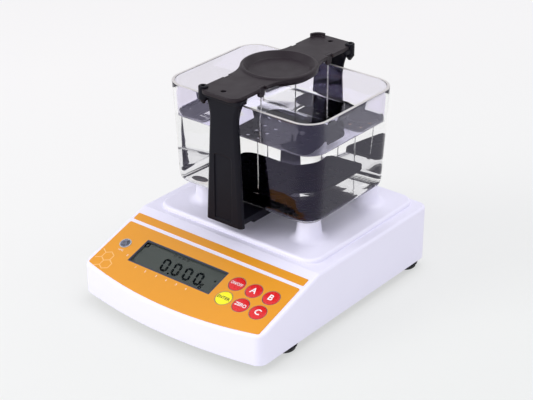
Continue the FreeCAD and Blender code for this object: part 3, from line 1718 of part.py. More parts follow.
def electronics():
    """The main board, its larger components, the rear sockets and the cables."""
    board = Piece("main_board")
    plan = rectangle(main_left, main_front, main_right, main_back)
    board.pad(board.sketch(plan, offset=main_z), d.board_thick)
    radius = d.screw_dia / 2 + d.shaft_gap
    holes = [(x, y, radius) for x, y in main_board_spots()]
    board.pocket(board.sketch(circles=holes, offset=main_z), d.board_thick, up=True)
    keep(board)
    top = main_z + d.board_thick

    shield = Piece("adc_shield")
    plan = around(main_right - d.shield_x, main_front + d.shield_y, d.shield_width, d.shield_depth)
    shield.pad(shield.sketch(plan, offset=top), d.shield_height)
    shield.fillet(0.8, upright)
    keep(shield)

    chip = Piece("processor_chip")
    plan = around(main_left + d.chip_x, main_front + d.chip_y, d.chip_side, d.chip_side)
    chip.pad(chip.sketch(plan, offset=top), d.chip_height)
    keep(chip)

    inlet = Piece("power_inlet")
    half = INLET_WIDTH / 2
    wall_in = back_y - d.shell_wall - d.fit_gap
    nose_length = d.shell_wall + d.fit_gap - SOCKET_SHY
    plan = rectangle(inlet_x - half, wall_in - INLET_LENGTH, inlet_x + half, wall_in)
    inlet.pad(inlet.sketch(plan, offset=top), INLET_HEIGHT)
    barrel = [(inlet_x, inlet_z, INLET_RADIUS)]
    nose = inlet.sketch(circles=barrel, plane="XZ_Plane", offset=-wall_in)
    inlet.pad(nose, nose_length, down=True)
    socket = [(inlet_x, inlet_z, INLET_MOUTH_RADIUS)]
    mouth = inlet.sketch(circles=socket, plane="XZ_Plane", offset=-back_y)
    inlet.pocket(mouth, INLET_DEPTH, up=True)
    pin = [(inlet_x, inlet_z, INLET_PIN_RADIUS)]
    pin_foot = back_y - INLET_DEPTH - 0.5
    contact = inlet.sketch(circles=pin, plane="XZ_Plane", offset=-pin_foot)
    inlet.pad(contact, INLET_DEPTH - 1.5, down=True)
    keep(inlet)

    port = Piece("data_port")
    half = PORT_BODY_WIDTH / 2
    plan = rectangle(port_x - half, wall_in - PORT_BODY_LENGTH, port_x + half, wall_in)
    port.pad(port.sketch(plan, offset=top), PORT_BODY_HEIGHT)

    def funnel(wall):
        """The port's outline, narrower at its foot, less a wall all round."""
        half_x = PORT_WIDTH / 2 - wall
        half_z = PORT_HEIGHT / 2 - wall
        return [
            (port_x - half_x + PORT_SLANT, port_z - half_z),
            (port_x + half_x - PORT_SLANT, port_z - half_z),
            (port_x + half_x, port_z + half_z),
            (port_x - half_x, port_z + half_z),
        ]

    nose = port.sketch(funnel(0), plane="XZ_Plane", offset=-wall_in)
    port.pad(nose, nose_length, down=True)
    mouth = port.sketch(funnel(PORT_WALL), plane="XZ_Plane", offset=-back_y)
    port.pocket(mouth, PORT_DEPTH, up=True)
    keep(port)

    ribbon = Piece("ribbon_cable")
    thick = d.ribbon_thick
    run = panel_run - d.ribbon_from_front
    start_y = crease_y - run * slope_cos
    start_z = top_z - run * slope_sin - (d.board_drop + d.board_thick) / slope_cos - 0.05
    low = deck_z + d.ribbon_gap
    edge = main_front - d.ribbon_gap
    land = top + TINY
    outline = [
        (start_y, low),
        (edge, low),
        (edge, land),
        (main_front + d.ribbon_over, land),
        (main_front + d.ribbon_over, land + thick),
        (edge - thick, land + thick),
        (edge - thick, low + thick),
        (start_y + thick, low + thick),
        (start_y + thick, start_z + thick * slope - 0.05),
        (start_y, start_z - 0.05),
    ]
    side = ribbon.sketch(outline, plane="YZ_Plane")
    ribbon.pad(side, d.ribbon_width, both=True)
    place(ribbon.body, x=main_left + d.ribbon_offset)
    keep(ribbon)

    lead = doc.addObject("Part::Cylinder", "load_cell_lead")
    lead.Label = "load_cell_lead"
    lead.Placement = Placement(Vector(), Rotation(Vector(0, 1, 0), -90))
    tie(lead, Radius=d.lead_dia / 2, Height=d.lead_length)
    place(lead, -d.cell_side / 2, main_front + d.lead_offset, top + d.lead_dia / 2 + TINY)
    keep(lead)


# ------------------------------------------------------------------ feet


def feet():
    """Four levelling feet: rubber pad, knurled wheel on its stud, brass insert."""
    stud_top = deck_z + d.insert_thick + d.stud_spare
    for name, x, y in foot_spots():
        pad = Piece(f"foot_pad_{name}")
        radius = d.pad_dia / 2
        socket = d.socket_dia / 2 + d.pin_gap
        pad.turn(
            [
                (ZERO, ZERO),
                (radius - 0.8, ZERO),
                (radius, Size.of(0.8)),
                (radius, d.pad_thick),
                (socket, d.pad_thick),
                (socket, d.pad_thick - d.socket_depth),
                (ZERO, d.pad_thick - d.socket_depth),
            ]
        )
        place(pad.body, x, y)
        keep(pad)
        wheel = Piece(f"foot_wheel_{name}")
        wide = d.foot_dia / 2
        low = d.pad_thick + d.pad_gap
        high = floor_z - d.pad_gap
        stud = d.stud_dia / 2
        ball = d.socket_dia / 2
        wheel.turn(
            [
                (ZERO, low + d.pad_gap - d.socket_depth),
                (ball, low + d.pad_gap - d.socket_depth),
                (ball, low),
                (wide - 0.8, low),
                (wide, low + 0.8),
                (wide, high - 0.8),
                (wide - 0.8, high),
                (stud, high),
                (stud, stud_top - 0.6),
                (stud - 0.6, stud_top),
                (ZERO, stud_top),
            ]
        )
        groove = wheel.sketch(circles=[(wide + 0.4, ZERO, d.knurl_dia / 2)], offset=low - 1)
        first = wheel.pocket(groove, high - low + 2, up=True)
        wheel.polar(first, 14)
        place(wheel.body, x, y)
        keep(wheel)
    insert = Piece("foot_insert")
    bore = d.stud_dia / 2 + d.shaft_gap
    insert.turn(
        [
            (bore, deck_z + TINY),
            (d.insert_dia / 2, deck_z + TINY),
            (d.insert_dia / 2, deck_z + d.insert_thick),
            (bore, deck_z + d.insert_thick),
        ]
    )
    places = [(float(x), float(y), 0) for _, x, y in foot_spots()]
    keep(group("foot_inserts", insert.body, places))


# ------------------------------------------------------------------ build

upper_housing()
lower_housing()
tank_stand()
panel_overlay()
title_strip()
display()
display_board()
for key_label, key_x, key_run in key_places:
    key(key_label, key_x, key_run)
key_switches()
level()
fasteners()
load_cell()
load_path()
cross_bar()
leg("front_leg", -1)
leg("rear_leg", 1)
frame_screws()
top_beam()
wire_clips()
hanger_wires()
pan()
water_tank()
electronics()
feet()

doc.recompute()
faults = [
    item.Name
    for item in doc.Objects
    if "Invalid" in item.State or "Error" in item.State
]
for node in NODES:
    shape = node.Shape
    if shape.isNull() or not shape.isValid() or not shape.Solids:
        faults.append(node.Label)
if faults:
    raise RuntimeError(f"objects failed: {faults}")
for node in NODES:
    node.Shape.exportStep(f"parts/{node.Label}.step")
print(f"{len(NODES)} sub-parts written")
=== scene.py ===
"""Looks of a benchtop density meter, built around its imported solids.

A white instrument housing carries a clear water tank on four columns. A black
weighing frame stands on the load cell inside, passes under the tank and closes
over it with a lift-off beam, which holds a weighing dish and, on four wires, a
perforated pan in the water.

Sizes are in millimetres and are turned into metres where a mesh is filled.
"""

import logging
import math
from collections.abc import Callable, Iterable, Sequence
from dataclasses import dataclass, field
from enum import Enum

import bmesh
import bpy
import numpy as np
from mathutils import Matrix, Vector


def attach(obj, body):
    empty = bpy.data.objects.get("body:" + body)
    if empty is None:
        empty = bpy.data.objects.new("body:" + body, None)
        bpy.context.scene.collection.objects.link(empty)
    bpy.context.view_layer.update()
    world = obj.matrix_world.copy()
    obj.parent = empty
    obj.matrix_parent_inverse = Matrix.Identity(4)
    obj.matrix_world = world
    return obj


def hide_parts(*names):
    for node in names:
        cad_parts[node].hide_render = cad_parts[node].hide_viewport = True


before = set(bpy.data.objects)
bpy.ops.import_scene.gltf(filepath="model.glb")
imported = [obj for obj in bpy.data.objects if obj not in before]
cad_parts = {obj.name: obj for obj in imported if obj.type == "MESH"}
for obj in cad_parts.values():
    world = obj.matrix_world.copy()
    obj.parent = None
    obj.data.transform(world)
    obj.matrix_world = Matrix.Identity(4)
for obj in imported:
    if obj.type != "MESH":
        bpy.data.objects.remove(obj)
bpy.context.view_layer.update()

LOG = logging.getLogger("density_meter")
MM = 0.001
RGB_SIZE = 3
TANK_IOR = 1.5
VIAL_IOR = 1.49
WATER_IOR = 1.333
CREASE_ANGLE = 34.0
DOUBLE_DISTANCE = 1e-7
EYE_RAYS = ("Is Camera Ray", "Is Glossy Ray", "Is Transmission Ray")

Colour = tuple[float, float, float]
Points = np.ndarray
Faces = list[Sequence[int]]
Solid = tuple[Points, Faces]
Pair = tuple[float, float]
Triple = tuple[float, float, float]
Socket = bpy.types.NodeSocket


def linear(red: int, green: int, blue: int) -> Colour:
    """Turn display levels from 0 to 255 into a scene-linear colour.

    A level c is divided by 255; below 0.04045 it is then divided by 12.92, and
    above it becomes ((c + 0.055) / 1.055) to the power 2.4.

    Args:
        red: Level of red.
        green: Level of green.
        blue: Level of blue.

    Returns:
        The three linear values.
    """
    levels = np.array([red, green, blue]) / 255.0
    values = np.where(levels <= 0.04045, levels / 12.92, ((levels + 0.055) / 1.055) ** 2.4)
    return (float(values[0]), float(values[1]), float(values[2]))


def shade(colour: Colour, times: float, plus: float = 0.0) -> Colour:
    """A colour times a number, plus another, and at most white."""
    red, green, blue = (min(c * times + plus, 1.0) for c in colour)
    return (red, green, blue)


def seen_by_eye(tree: bpy.types.NodeTree) -> Socket:
    """One where the eye, a gloss or a glass looks, otherwise zero.

    It is the largest of the three flags of the ray.

    Args:
        tree: The node tree that gets the nodes.

    Returns:
        The value socket.
    """
    ray = tree.nodes.new("ShaderNodeLightPath")
    seen = ray.outputs[EYE_RAYS[0]]
    for kind in EYE_RAYS[1:]:
        either = tree.nodes.new("ShaderNodeMath")
        either.operation = "MAXIMUM"
        tree.links.new(seen, either.inputs[0])
        tree.links.new(ray.outputs[kind], either.inputs[1])
        seen = either.outputs["Value"]
    return seen


# ---------------------------------------------------------------- finishes


class Recipe:
    """A material under construction: its node tree and its surface shader."""

    def __init__(self, name: str) -> None:
        """Start an empty material with a Principled surface.

        Args:
            name: Name of the material.
        """
        self.material = bpy.data.materials.new(name)
        self.material.use_nodes = True
        self.tree = self.material.node_tree
        self.tree.nodes.clear()
        self.output = self.tree.nodes.new("ShaderNodeOutputMaterial")
        self.surface = self.tree.nodes.new("ShaderNodeBsdfPrincipled")
        self.join(self.surface.outputs["BSDF"], self.output.inputs["Surface"])
        self._normal: Socket | None = None

    def join(self, source: Socket, target: Socket) -> None:
        """Link one socket to another."""
        self.tree.links.new(source, target)

    def node(self, kind: str, **settings: object) -> bpy.types.Node:
        """Add a node and set its properties by name.

        Args:
            kind: The kind of node.
            settings: Its properties by name.

        Returns:
            The node.
        """
        added = self.tree.nodes.new(kind)
        for key, value in settings.items():
            setattr(added, key, value)
        return added

    def constant(self, **values: object) -> None:
        """Set sockets of the surface shader; an underscore stands for a space."""
        for key, value in values.items():
            if isinstance(value, tuple) and len(value) == RGB_SIZE:
                value = (*value, 1.0)
            self.surface.inputs[key.replace("_", " ")].default_value = value

    def place(
        self, stretch: Sequence[float] = (1, 1, 1), turn: Sequence[float] = (0, 0, 0)
    ) -> Socket:
        """Object coordinates, stretched along and turned about the axes.

        Args:
            stretch: How many times finer the pattern is along each axis.
            turn: Turn about each axis in degrees.

        Returns:
            The vector socket.
        """
        origin = self.node("ShaderNodeTexCoord")
        mapping = self.node("ShaderNodeMapping")
        mapping.inputs["Scale"].default_value = tuple(stretch)
        mapping.inputs["Rotation"].default_value = tuple(math.radians(a) for a in turn)
        self.join(origin.outputs["Object"], mapping.inputs["Vector"])
        return mapping.outputs["Vector"]

    def texture(
        self, kind: str, size: float, vector: Socket | None = None, **settings: object
    ) -> bpy.types.Node:
        """Add a texture.

        Args:
            kind: The kind of node.
            size: Width in millimetres of what repeats.
            vector: Coordinates, or Object coordinates if none are given.
            settings: Properties of the node by name.

        Returns:
            The node.
        """
        added = self.node(kind, **settings)
        added.inputs["Scale"].default_value = 1.0 / (size * MM)
        self.join(vector or self.place(), added.inputs["Vector"])
        return added

    def noise(self, size: float, detail: float = 2.0, vector: Socket | None = None) -> Socket:
        """Smooth random values from 0 to 1.

        Args:
            size: Width of a blotch in millimetres.
            detail: Octaves of finer noise on top.
            vector: Coordinates, or Object coordinates if none are given.

        Returns:
            The value socket.
        """
        texture = self.texture("ShaderNodeTexNoise", size, vector)
        texture.inputs["Detail"].default_value = detail
        return texture.outputs["Fac"]

    def cells(self, size: float) -> Socket:
        """Distance inside random cells of this size in millimetres."""
        return self.texture("ShaderNodeTexVoronoi", size, feature="F1").outputs["Distance"]

    def stripes(self, pitch: float) -> Socket:
        """Bands across X, one every pitch millimetres, from 0 to 1.

        A band pattern repeats every pi / 10 of its scaled coordinate.

        Args:
            pitch: Distance between bands.

        Returns:
            The value socket.
        """
        texture = self.texture("ShaderNodeTexWave", pitch, wave_type="BANDS", bands_direction="X")
        texture.inputs["Scale"].default_value = math.pi / (10.0 * pitch * MM)
        return texture.outputs["Fac"]

    def level(
        self, value: Socket, low: float, high: float, start: float = 0.3, stop: float = 0.7
    ) -> Socket:
        """Carry values between start and stop onto the range from low to high.

        Args:
            value: The values to carry over.
            low: What start becomes.
            high: What stop becomes.
            start: Lower end of the incoming range.
            stop: Upper end of the incoming range.

        Returns:
            The value socket, held within low and high.
        """
        remap = self.node("ShaderNodeMapRange")
        ends = {"From Min": start, "From Max": stop, "To Min": low, "To Max": high}
        for key, number in ends.items():
            remap.inputs[key].default_value = number
        self.join(value, remap.inputs["Value"])
        return remap.outputs["Result"]

    def mix(self, factor: Socket, first: Colour | Socket, second: Colour | Socket) -> Socket:
        """A colour between two others, by a factor from 0 to 1.

        Args:
            factor: The factor.
            first: What 0 gives.
            second: What 1 gives.

        Returns:
            The colour socket.
        """
        blend = self.node("ShaderNodeMix", data_type="RGBA")
        self.join(factor, blend.inputs["Factor"])
        for socket, colour in ((blend.inputs[6], first), (blend.inputs[7], second)):
            if isinstance(colour, tuple):
                socket.default_value = (*colour, 1.0)
            else:
                self.join(colour, socket)
        return blend.outputs[2]

    def dye(self, factor: Socket, first: Colour | Socket, second: Colour | Socket) -> None:
        """Colour the surface between two colours, by a factor from 0 to 1."""
        self.join(self.mix(factor, first, second), self.surface.inputs["Base Color"])

    def paint(self, colour: Colour, spread: float, values: Socket) -> None:
        """Colour the surface, with this relative spread of brightness over it."""
        self.dye(values, shade(colour, 1 - spread), shade(colour, 1 + spread))

    def gloss(self, roughness: float, spread: float, values: Socket) -> None:
        """Set the roughness, with this absolute spread over the surface."""
        varied = self.level(values, roughness - spread, roughness + spread)
        self.join(varied, self.surface.inputs["Roughness"])

    def soften(self, radius: float) -> None:
        """Shade the edges as if they were rounded by this radius in millimetres.

        Args:
            radius: The radius.
        """
        bevel = self.node("ShaderNodeBevel", samples=6)
        bevel.inputs["Radius"].default_value = radius * MM
        self._normal = bevel.outputs["Normal"]

    def relief(self, height: Socket, depth: float) -> None:
        """Raise and sink the shading by a height, at most depth millimetres.

        Args:
            height: Values from 0 to 1.
            depth: What 1 stands for.
        """
        bump = self.node("ShaderNodeBump")
        bump.inputs["Distance"].default_value = depth * MM
        bump.inputs["Strength"].default_value = 1.0
        self.join(height, bump.inputs["Height"])
        if self._normal is not None:
            self.join(self._normal, bump.inputs["Normal"])
        self._normal = bump.outputs["Normal"]
        self.join(self._normal, self.surface.inputs["Normal"])


@dataclass(frozen=True)
class Blotch:
    """A smooth random change: how strong, how wide in millimetres, in how many octaves."""

    amount: float
    size: float
    detail: float


@dataclass(frozen=True)
class Finish:
    """A surface finish: a name, a colour and how rough it is."""

    name: str
    colour: Colour
    roughness: float = 0.4

    def cook(self, recipe: Recipe) -> None:
        """Fill the recipe's node tree."""
        raise NotImplementedError

    def vary(
        self,
        recipe: Recipe,
        tint: Blotch | None = None,
        sheen: Blotch | None = None,
        relief: Blotch | None = None,
    ) -> None:
        """Change colour, roughness and height from place to place.

        Args:
            recipe: The material under construction.
            tint: Relative change of brightness, or none.
            sheen: Change of the roughness, or none.
            relief: Height in millimetres, or none.
        """
        if tint is not None:
            recipe.paint(self.colour, tint.amount, recipe.noise(tint.size, tint.detail))
        if sheen is not None:
            recipe.gloss(self.roughness, sheen.amount, recipe.noise(sheen.size, sheen.detail))
        if relief is not None:
            recipe.relief(recipe.noise(relief.size, relief.detail), relief.amount)

    def make(self) -> bpy.types.Material:
        """The finish's material, built once and then shared.

        Returns:
            The material.
        """
        known = bpy.data.materials.get(self.name)
        if known is not None:
            return known
        recipe = Recipe(self.name)
        self.cook(recipe)
        return recipe.material


@dataclass(frozen=True)
class MouldedPlastic(Finish):
    """Injection-moulded plastic with a fine matt grain.

    Attributes:
        grain: Width of the grain in millimetres.
        depth: Height of the grain in millimetres.
        spread: Relative change of brightness from place to place.
        specular: Strength of its reflection; 0.5 is ordinary plastic.
        edge: Radius in millimetres to which its edges look rounded, or 0.
    """

    grain: float = 0.35
    depth: float = 0.012
    spread: float = 0.012
    specular: float = 0.5
    edge: float = 0.0

    def cook(self, recipe: Recipe) -> None:
        """Broad flow in colour and gloss, the mould's matt grain, and slow waves.

        Args:
            recipe: The material under construction.
        """
        if self.edge:
            recipe.soften(self.edge)
        matt = Blotch(self.depth, self.grain, 3.0)
        self.vary(recipe, Blotch(self.spread, 38.0, 3.0), Blotch(0.05, 11.0, 4.0), matt)
        self.vary(recipe, relief=Blotch(0.03, 24.0, 1.0))
        recipe.constant(Specular_IOR_Level=self.specular)


@dataclass(frozen=True)
class PrintedFilm(Finish):
    """Polyester film printed from behind, with a fine texture on its face."""

    def cook(self, recipe: Recipe) -> None:
        """A hair of ink unevenness, and the film's velvet texture."""
        self.vary(recipe, Blotch(0.02, 9.0, 5.0), Blotch(0.05, 3.0, 3.0))
        recipe.relief(recipe.cells(0.28), 0.006)


@dataclass(frozen=True)
class GlossCap(Finish):
    """Bright lacquered key film with a slight orange peel."""

    def cook(self, recipe: Recipe) -> None:
        """Even colour a little deeper towards patches, and a soft ripple.

        Args:
            recipe: The material under construction.
        """
        peel = Blotch(0.006, 0.9, 2.0)
        self.vary(recipe, Blotch(0.035, 2.6, 3.0), Blotch(0.05, 1.4, 3.0), peel)
        recipe.constant(Coat_Weight=0.35, Coat_Roughness=0.12)


@dataclass(frozen=True)
class Ink(Finish):
    """Opaque screen ink.

    Attributes:
        specular: Strength of its plain reflection.
    """

    specular: float = 0.5

    def cook(self, recipe: Recipe) -> None:
        """Slightly uneven cover, with the mesh of the screen in its surface.

        Args:
            recipe: The material under construction.
        """
        mesh = Blotch(0.004, 0.12, 1.0)
        self.vary(recipe, Blotch(0.05, 0.6, 3.0), Blotch(0.06, 1.0, 2.0), mesh)
        recipe.constant(Specular_IOR_Level=self.specular)


@dataclass(frozen=True)
class ClearPlastic(Finish):
    """Clear moulded plastic, solid: light enters, bends and leaves.

    Attributes:
        ior: Index of refraction.
        ripple: Height in millimetres of the slow ripple left by moulding.
        glint: Tint of what it reflects; other than white it is a painted tint on the reflections.
    """

    ior: float = VIAL_IOR
    ripple: float = 0.01
    glint: Colour = (1.0, 1.0, 1.0)

    def cook(self, recipe: Recipe) -> None:
        """Faint moulding flow in tint and gloss, and a slow ripple.

        Args:
            recipe: The material under construction.
        """
        sheen = Blotch(self.roughness * 0.5, 14.0, 3.0)
        self.vary(recipe, Blotch(0.01, 30.0, 2.0), sheen, Blotch(self.ripple, 22.0, 1.0))
        recipe.constant(Transmission_Weight=1.0, IOR=self.ior, Specular_Tint=self.glint)


@dataclass(frozen=True)
class Liquid(Finish):
    """A clear liquid, with an index of refraction and a painted tint on its glints."""

    ior: float = WATER_IOR
    glint: Colour = (1.0, 1.0, 1.0)

    def cook(self, recipe: Recipe) -> None:
        """A breath of tint, and a surface that is nearly still.

        Args:
            recipe: The material under construction.
        """
        self.vary(recipe, Blotch(0.004, 40.0, 1.0), relief=Blotch(0.006, 26.0, 1.0))
        recipe.constant(Transmission_Weight=1.0, Roughness=0.0)
        recipe.constant(IOR=self.ior, Specular_Tint=self.glint)


@dataclass(frozen=True)
class FrostedRim(Finish):
    """The tank's ground rim: milky, with a fine grain left by the cutter."""

    def cook(self, recipe: Recipe) -> None:
        """Milky patches, dull gloss and a grain, with some light let through.

        Args:
            recipe: The material under construction.
        """
        cut = Blotch(0.02, 0.18, 2.0)
        self.vary(recipe, Blotch(0.03, 5.0, 4.0), Blotch(0.08, 2.0, 3.0), cut)
        recipe.constant(Transmission_Weight=0.2, IOR=1.45)


@dataclass(frozen=True)
class Metal(Finish):
    """Metal, brushed, turned or drawn.

    Attributes:
        grain: Width in millimetres of the finest scratch.
        run: How many times longer than wide a scratch is, along X, Y and Z.
        depth: Depth of the scratches in millimetres.
    """

    grain: float = 0.12
    run: Triple = (1.0, 1.0, 1.0)
    depth: float = 0.004

    def cook(self, recipe: Recipe) -> None:
        """Scratches drawn out along the brushing, and a dull bloom.

        Args:
            recipe: The material under construction.
        """
        lines = recipe.place(stretch=tuple(1.0 / r for r in self.run))
        scratches = recipe.noise(self.grain, 4.0, lines)
        recipe.paint(self.colour, 0.08, scratches)
        self.vary(recipe, sheen=Blotch(0.08, 4.0, 4.0))
        recipe.relief(scratches, self.depth)
        recipe.constant(Metallic=1.0)


@dataclass(frozen=True)
class CircuitBoard(Finish):
    """Solder mask over copper tracks."""

    def cook(self, recipe: Recipe) -> None:
        """Tracks on a 2.5 mm raster under the mask, a little paler and raised.

        Args:
            recipe: The material under construction.
        """
        raster = recipe.texture("ShaderNodeTexBrick", 2.5, offset=0.5, squash=1.0)
        for key, share in {"Mortar Size": 0.06, "Brick Width": 2.4, "Row Height": 0.6}.items():
            raster.inputs[key].default_value = share
        tracks = raster.outputs["Fac"]
        recipe.dye(tracks, self.colour, shade(self.colour, 2.0, 0.01))
        self.vary(recipe, sheen=Blotch(0.08, 6.0, 3.0))
        recipe.relief(tracks, 0.03)


@dataclass(frozen=True)
class FlatCable(Finish):
    """Ribbon cable: conductors side by side in a grey sheath.

    Attributes:
        pitch: Distance between conductors in millimetres.
    """

    pitch: float = 1.27

    def cook(self, recipe: Recipe) -> None:
        """A rib for every conductor, with shade in the grooves between.

        Args:
            recipe: The material under construction.
        """
        ribs = recipe.stripes(self.pitch)
        recipe.dye(ribs, shade(self.colour, 0.6), self.colour)
        self.vary(recipe, sheen=Blotch(0.05, 4.0, 2.0))
        recipe.relief(ribs, 0.25)


@dataclass(frozen=True)
class Rubber(Finish):
    """Moulded rubber with dust in its grain."""

    def cook(self, recipe: Recipe) -> None:
        """Dull, with a paler bloom in patches and a coarse grain.

        Args:
            recipe: The material under construction.
        """
        patches = recipe.level(recipe.noise(5.0, 5.0), 0.0, 1.0, 0.45, 0.75)
        recipe.dye(patches, self.colour, shade(self.colour, 1.0, 0.03))
        self.vary(recipe, sheen=Blotch(0.08, 3.0, 3.0), relief=Blotch(0.03, 0.4, 3.0))


@dataclass(frozen=True)
class CrystalCell(Finish):
    """The reflective field of a liquid crystal display."""

    def cook(self, recipe: Recipe) -> None:
        """Fine sparkle of the reflector behind the polariser, and soft clouds.

        Args:
            recipe: The material under construction.
        """
        clouds = recipe.noise(26.0, 2.0)
        sparkle = recipe.noise(0.16, 1.0)
        base = recipe.mix(clouds, shade(self.colour, 0.9), shade(self.colour, 1.12))
        recipe.dye(recipe.level(sparkle, 0.0, 0.12), base, (0.5, 0.52, 0.5))
        recipe.gloss(self.roughness, 0.04, clouds)
        recipe.relief(sparkle, 0.003)


# ---------------------------------------------------------------- surfaces


def skin(rings: Sequence[Points]) -> Solid:
    """Quads over rings of points, each joined with the next and closed on itself.

    Point (i, j) is joined with (i, j + 1), (i + 1, j + 1) and (i + 1, j), and the
    last point of a ring with its first.

    Args:
        rings: Arrays of (x, y, z), all with the same number of points.

    Returns:
        Points and faces.
    """
    stack = np.stack(rings)
    rows, columns = stack.shape[:2]
    i = np.arange(rows - 1)[:, None] * columns
    j = np.arange(columns)[None, :]
    k = (j + 1) % columns
    quads = (i + j, i + k, i + columns + k, i + columns + j)
    return stack.reshape(-1, 3), np.stack(quads, axis=-1).reshape(-1, 4).tolist()


def rounded_loop(half_x: float, half_y: float, radius: float, steps: int, between: int) -> Points:
    """A rectangle with round corners as a closed loop of points.

    Each corner is a quarter circle (c + r cos a, c + r sin a) about its own
    centre, and each side is divided evenly, so loops of different size have
    the same number of points in the same order.

    Args:
        half_x: Half of the width.
        half_y: Half of the depth.
        radius: Radius of the corners.
        steps: Divisions of a corner.
        between: Points on a side, without its ends.

    Returns:
        An array of (x, y).
    """
    signs = np.array([(1, 1), (-1, 1), (-1, -1), (1, -1)], float)
    centres = signs * (half_x - radius, half_y - radius)
    quarter = np.linspace(0, np.pi / 2, steps + 1)
    turns = np.arange(4)[:, None] * (np.pi / 2) + quarter[None, :]
    arcs = centres[:, None, :] + radius * np.stack([np.cos(turns), np.sin(turns)], axis=-1)
    share = (np.arange(between) + 1.0)[None, :, None] / (between + 1)
    ends, starts = arcs[:, -1:, :], np.roll(arcs, -1, axis=0)[:, :1, :]
    sides = ends + (starts - ends) * share
    return np.concatenate([arcs, sides], axis=1).reshape(-1, 2)


def sheet(loops: Sequence[Points]) -> Solid:
    """An open skin over loops, from the outermost inwards to their middle."""
    return skin([*loops, np.broadcast_to(loops[-1].mean(axis=0), loops[-1].shape)])


def loft(loops: Sequence[Points]) -> Solid:
    """A closed skin over stacked loops, its two ends drawn to their middles."""
    return sheet([np.broadcast_to(loops[0].mean(axis=0), loops[0].shape), *loops])


def raised(loop: Points, z: float) -> Points:
    """A flat loop at a height."""
    return np.column_stack([loop, np.full(len(loop), z)])


def turned(profile: Sequence[Pair], count: int) -> Solid:
    """A profile of (radius, height) turned about the vertical axis.

    The point at angle a is (r cos a, r sin a, h). A profile that starts and
    ends on the axis closes the solid; otherwise it is closed on itself.

    Args:
        profile: The radii and heights.
        count: Divisions of the circle.

    Returns:
        Points and faces.
    """
    outline = np.array(profile, float)
    if outline[0, 0] > 0 or outline[-1, 0] > 0:
        outline = np.vstack([outline, outline[:1]])
    angles = np.arange(count) * (2 * np.pi / count)
    x = outline[:, :1] * np.cos(angles)
    y = outline[:, :1] * np.sin(angles)
    return skin(np.stack([x, y, np.broadcast_to(outline[:, 1:], x.shape)], axis=-1))


def arc(centre: Pair, radius: float, start: float, stop: float, steps: int = 8) -> Points:
    """Points of an arc, (c + r cos a, c + r sin a), with angles in degrees."""
    angles = np.radians(np.linspace(start, stop, steps + 1))
    return np.array(centre) + radius * np.stack([np.cos(angles), np.sin(angles)], axis=-1)


def prism(outline: Points, low: float, high: float) -> Solid:
    """A flat outline of (x, y) carried from one height to another.

    Args:
        outline: Points (x, y).
        low: One height.
        high: The other.

    Returns:
        Points and faces.
    """
    count = len(outline)
    points, sides = skin([raised(outline, low), raised(outline, high)])
    return points, sides + [list(range(count))[::-1], list(range(count, 2 * count))]


def together(parts: Iterable[Solid]) -> Solid:
    """Several solids as one list of points and faces.

    Args:
        parts: The solids.

    Returns:
        Points and faces.
    """
    points: list[Points] = []
    faces: Faces = []
    offset = 0
    for some, joined in parts:
        points.append(some)
        faces += [[offset + n for n in face] for face in joined]
        offset += len(some)
    return np.vstack(points), faces


def moved(solid: Solid, x: float, y: float) -> Solid:
    """A solid carried sideways."""
    return solid[0] + (x, y, 0.0), solid[1]


@dataclass
class Workshop:
    """Turns solids into finished objects that ride on the instrument's bodies."""

    made: list[bpy.types.Object] = field(default_factory=list)

    def build(
        self,
        name: str,
        solid: Solid,
        finish: Finish,
        body: str,
        slot: str,
        replaces: Sequence[str] = (),
        closed: bool = True,
    ) -> bpy.types.Object:
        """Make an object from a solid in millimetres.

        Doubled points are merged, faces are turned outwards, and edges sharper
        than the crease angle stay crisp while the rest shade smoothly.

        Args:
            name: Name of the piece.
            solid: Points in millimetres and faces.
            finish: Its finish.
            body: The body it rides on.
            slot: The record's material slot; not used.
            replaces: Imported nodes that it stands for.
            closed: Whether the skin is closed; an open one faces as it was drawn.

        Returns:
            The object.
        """
        points, faces = solid
        mesh = bpy.data.meshes.new(name)
        mesh.from_pydata((points * MM).tolist(), [], faces)
        shape = bmesh.new()
        shape.from_mesh(mesh)
        bmesh.ops.remove_doubles(shape, verts=shape.verts, dist=DOUBLE_DISTANCE)
        bmesh.ops.dissolve_degenerate(shape, edges=shape.edges, dist=DOUBLE_DISTANCE)
        if closed:
            bmesh.ops.recalc_face_normals(shape, faces=shape.faces)
        shape.to_mesh(mesh)
        shape.free()
        mesh.shade_smooth()
        mesh.set_sharp_from_angle(angle=math.radians(CREASE_ANGLE))
        mesh.materials.append(finish.make())
        thing = bpy.data.objects.new(name, mesh)
        bpy.context.scene.collection.objects.link(thing)
        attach(thing, body)
        if replaces:
            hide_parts(*replaces)
        self.made.append(thing)
        LOG.info("piece %s: %d faces on %s", name, len(mesh.polygons), body)
        return thing

    def coat(
        self, thing: bpy.types.Object, finish: Finish, chosen: Callable[[Points, Points], Points]
    ) -> None:
        """Give some faces of a piece another finish.

        Args:
            thing: The piece.
            finish: What these faces get.
            chosen: Tells which, from their middles in millimetres and normals.
        """
        mesh = thing.data
        mesh.materials.append(finish.make())
        count = len(mesh.polygons)
        centres, normals = np.empty(count * 3), np.empty(count * 3)
        indices = np.empty(count, np.int32)
        mesh.polygons.foreach_get("center", centres)
        mesh.polygons.foreach_get("normal", normals)
        mesh.polygons.foreach_get("material_index", indices)
        picked = chosen(centres.reshape(-1, 3) / MM, normals.reshape(-1, 3))
        indices[picked] = len(mesh.materials) - 1
        mesh.polygons.foreach_set("material_index", indices)

    def dress(self, finish: Finish, *nodes: str) -> None:
        """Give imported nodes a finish.

        Args:
            finish: The finish.
            nodes: The nodes' names.
        """
        for node in nodes:
            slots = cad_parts[node].data.materials
            slots.clear()
            slots.append(finish.make())
        LOG.info("finish %s on %s", finish.name, ", ".join(nodes))


# ---------------------------------------------------------------- palette

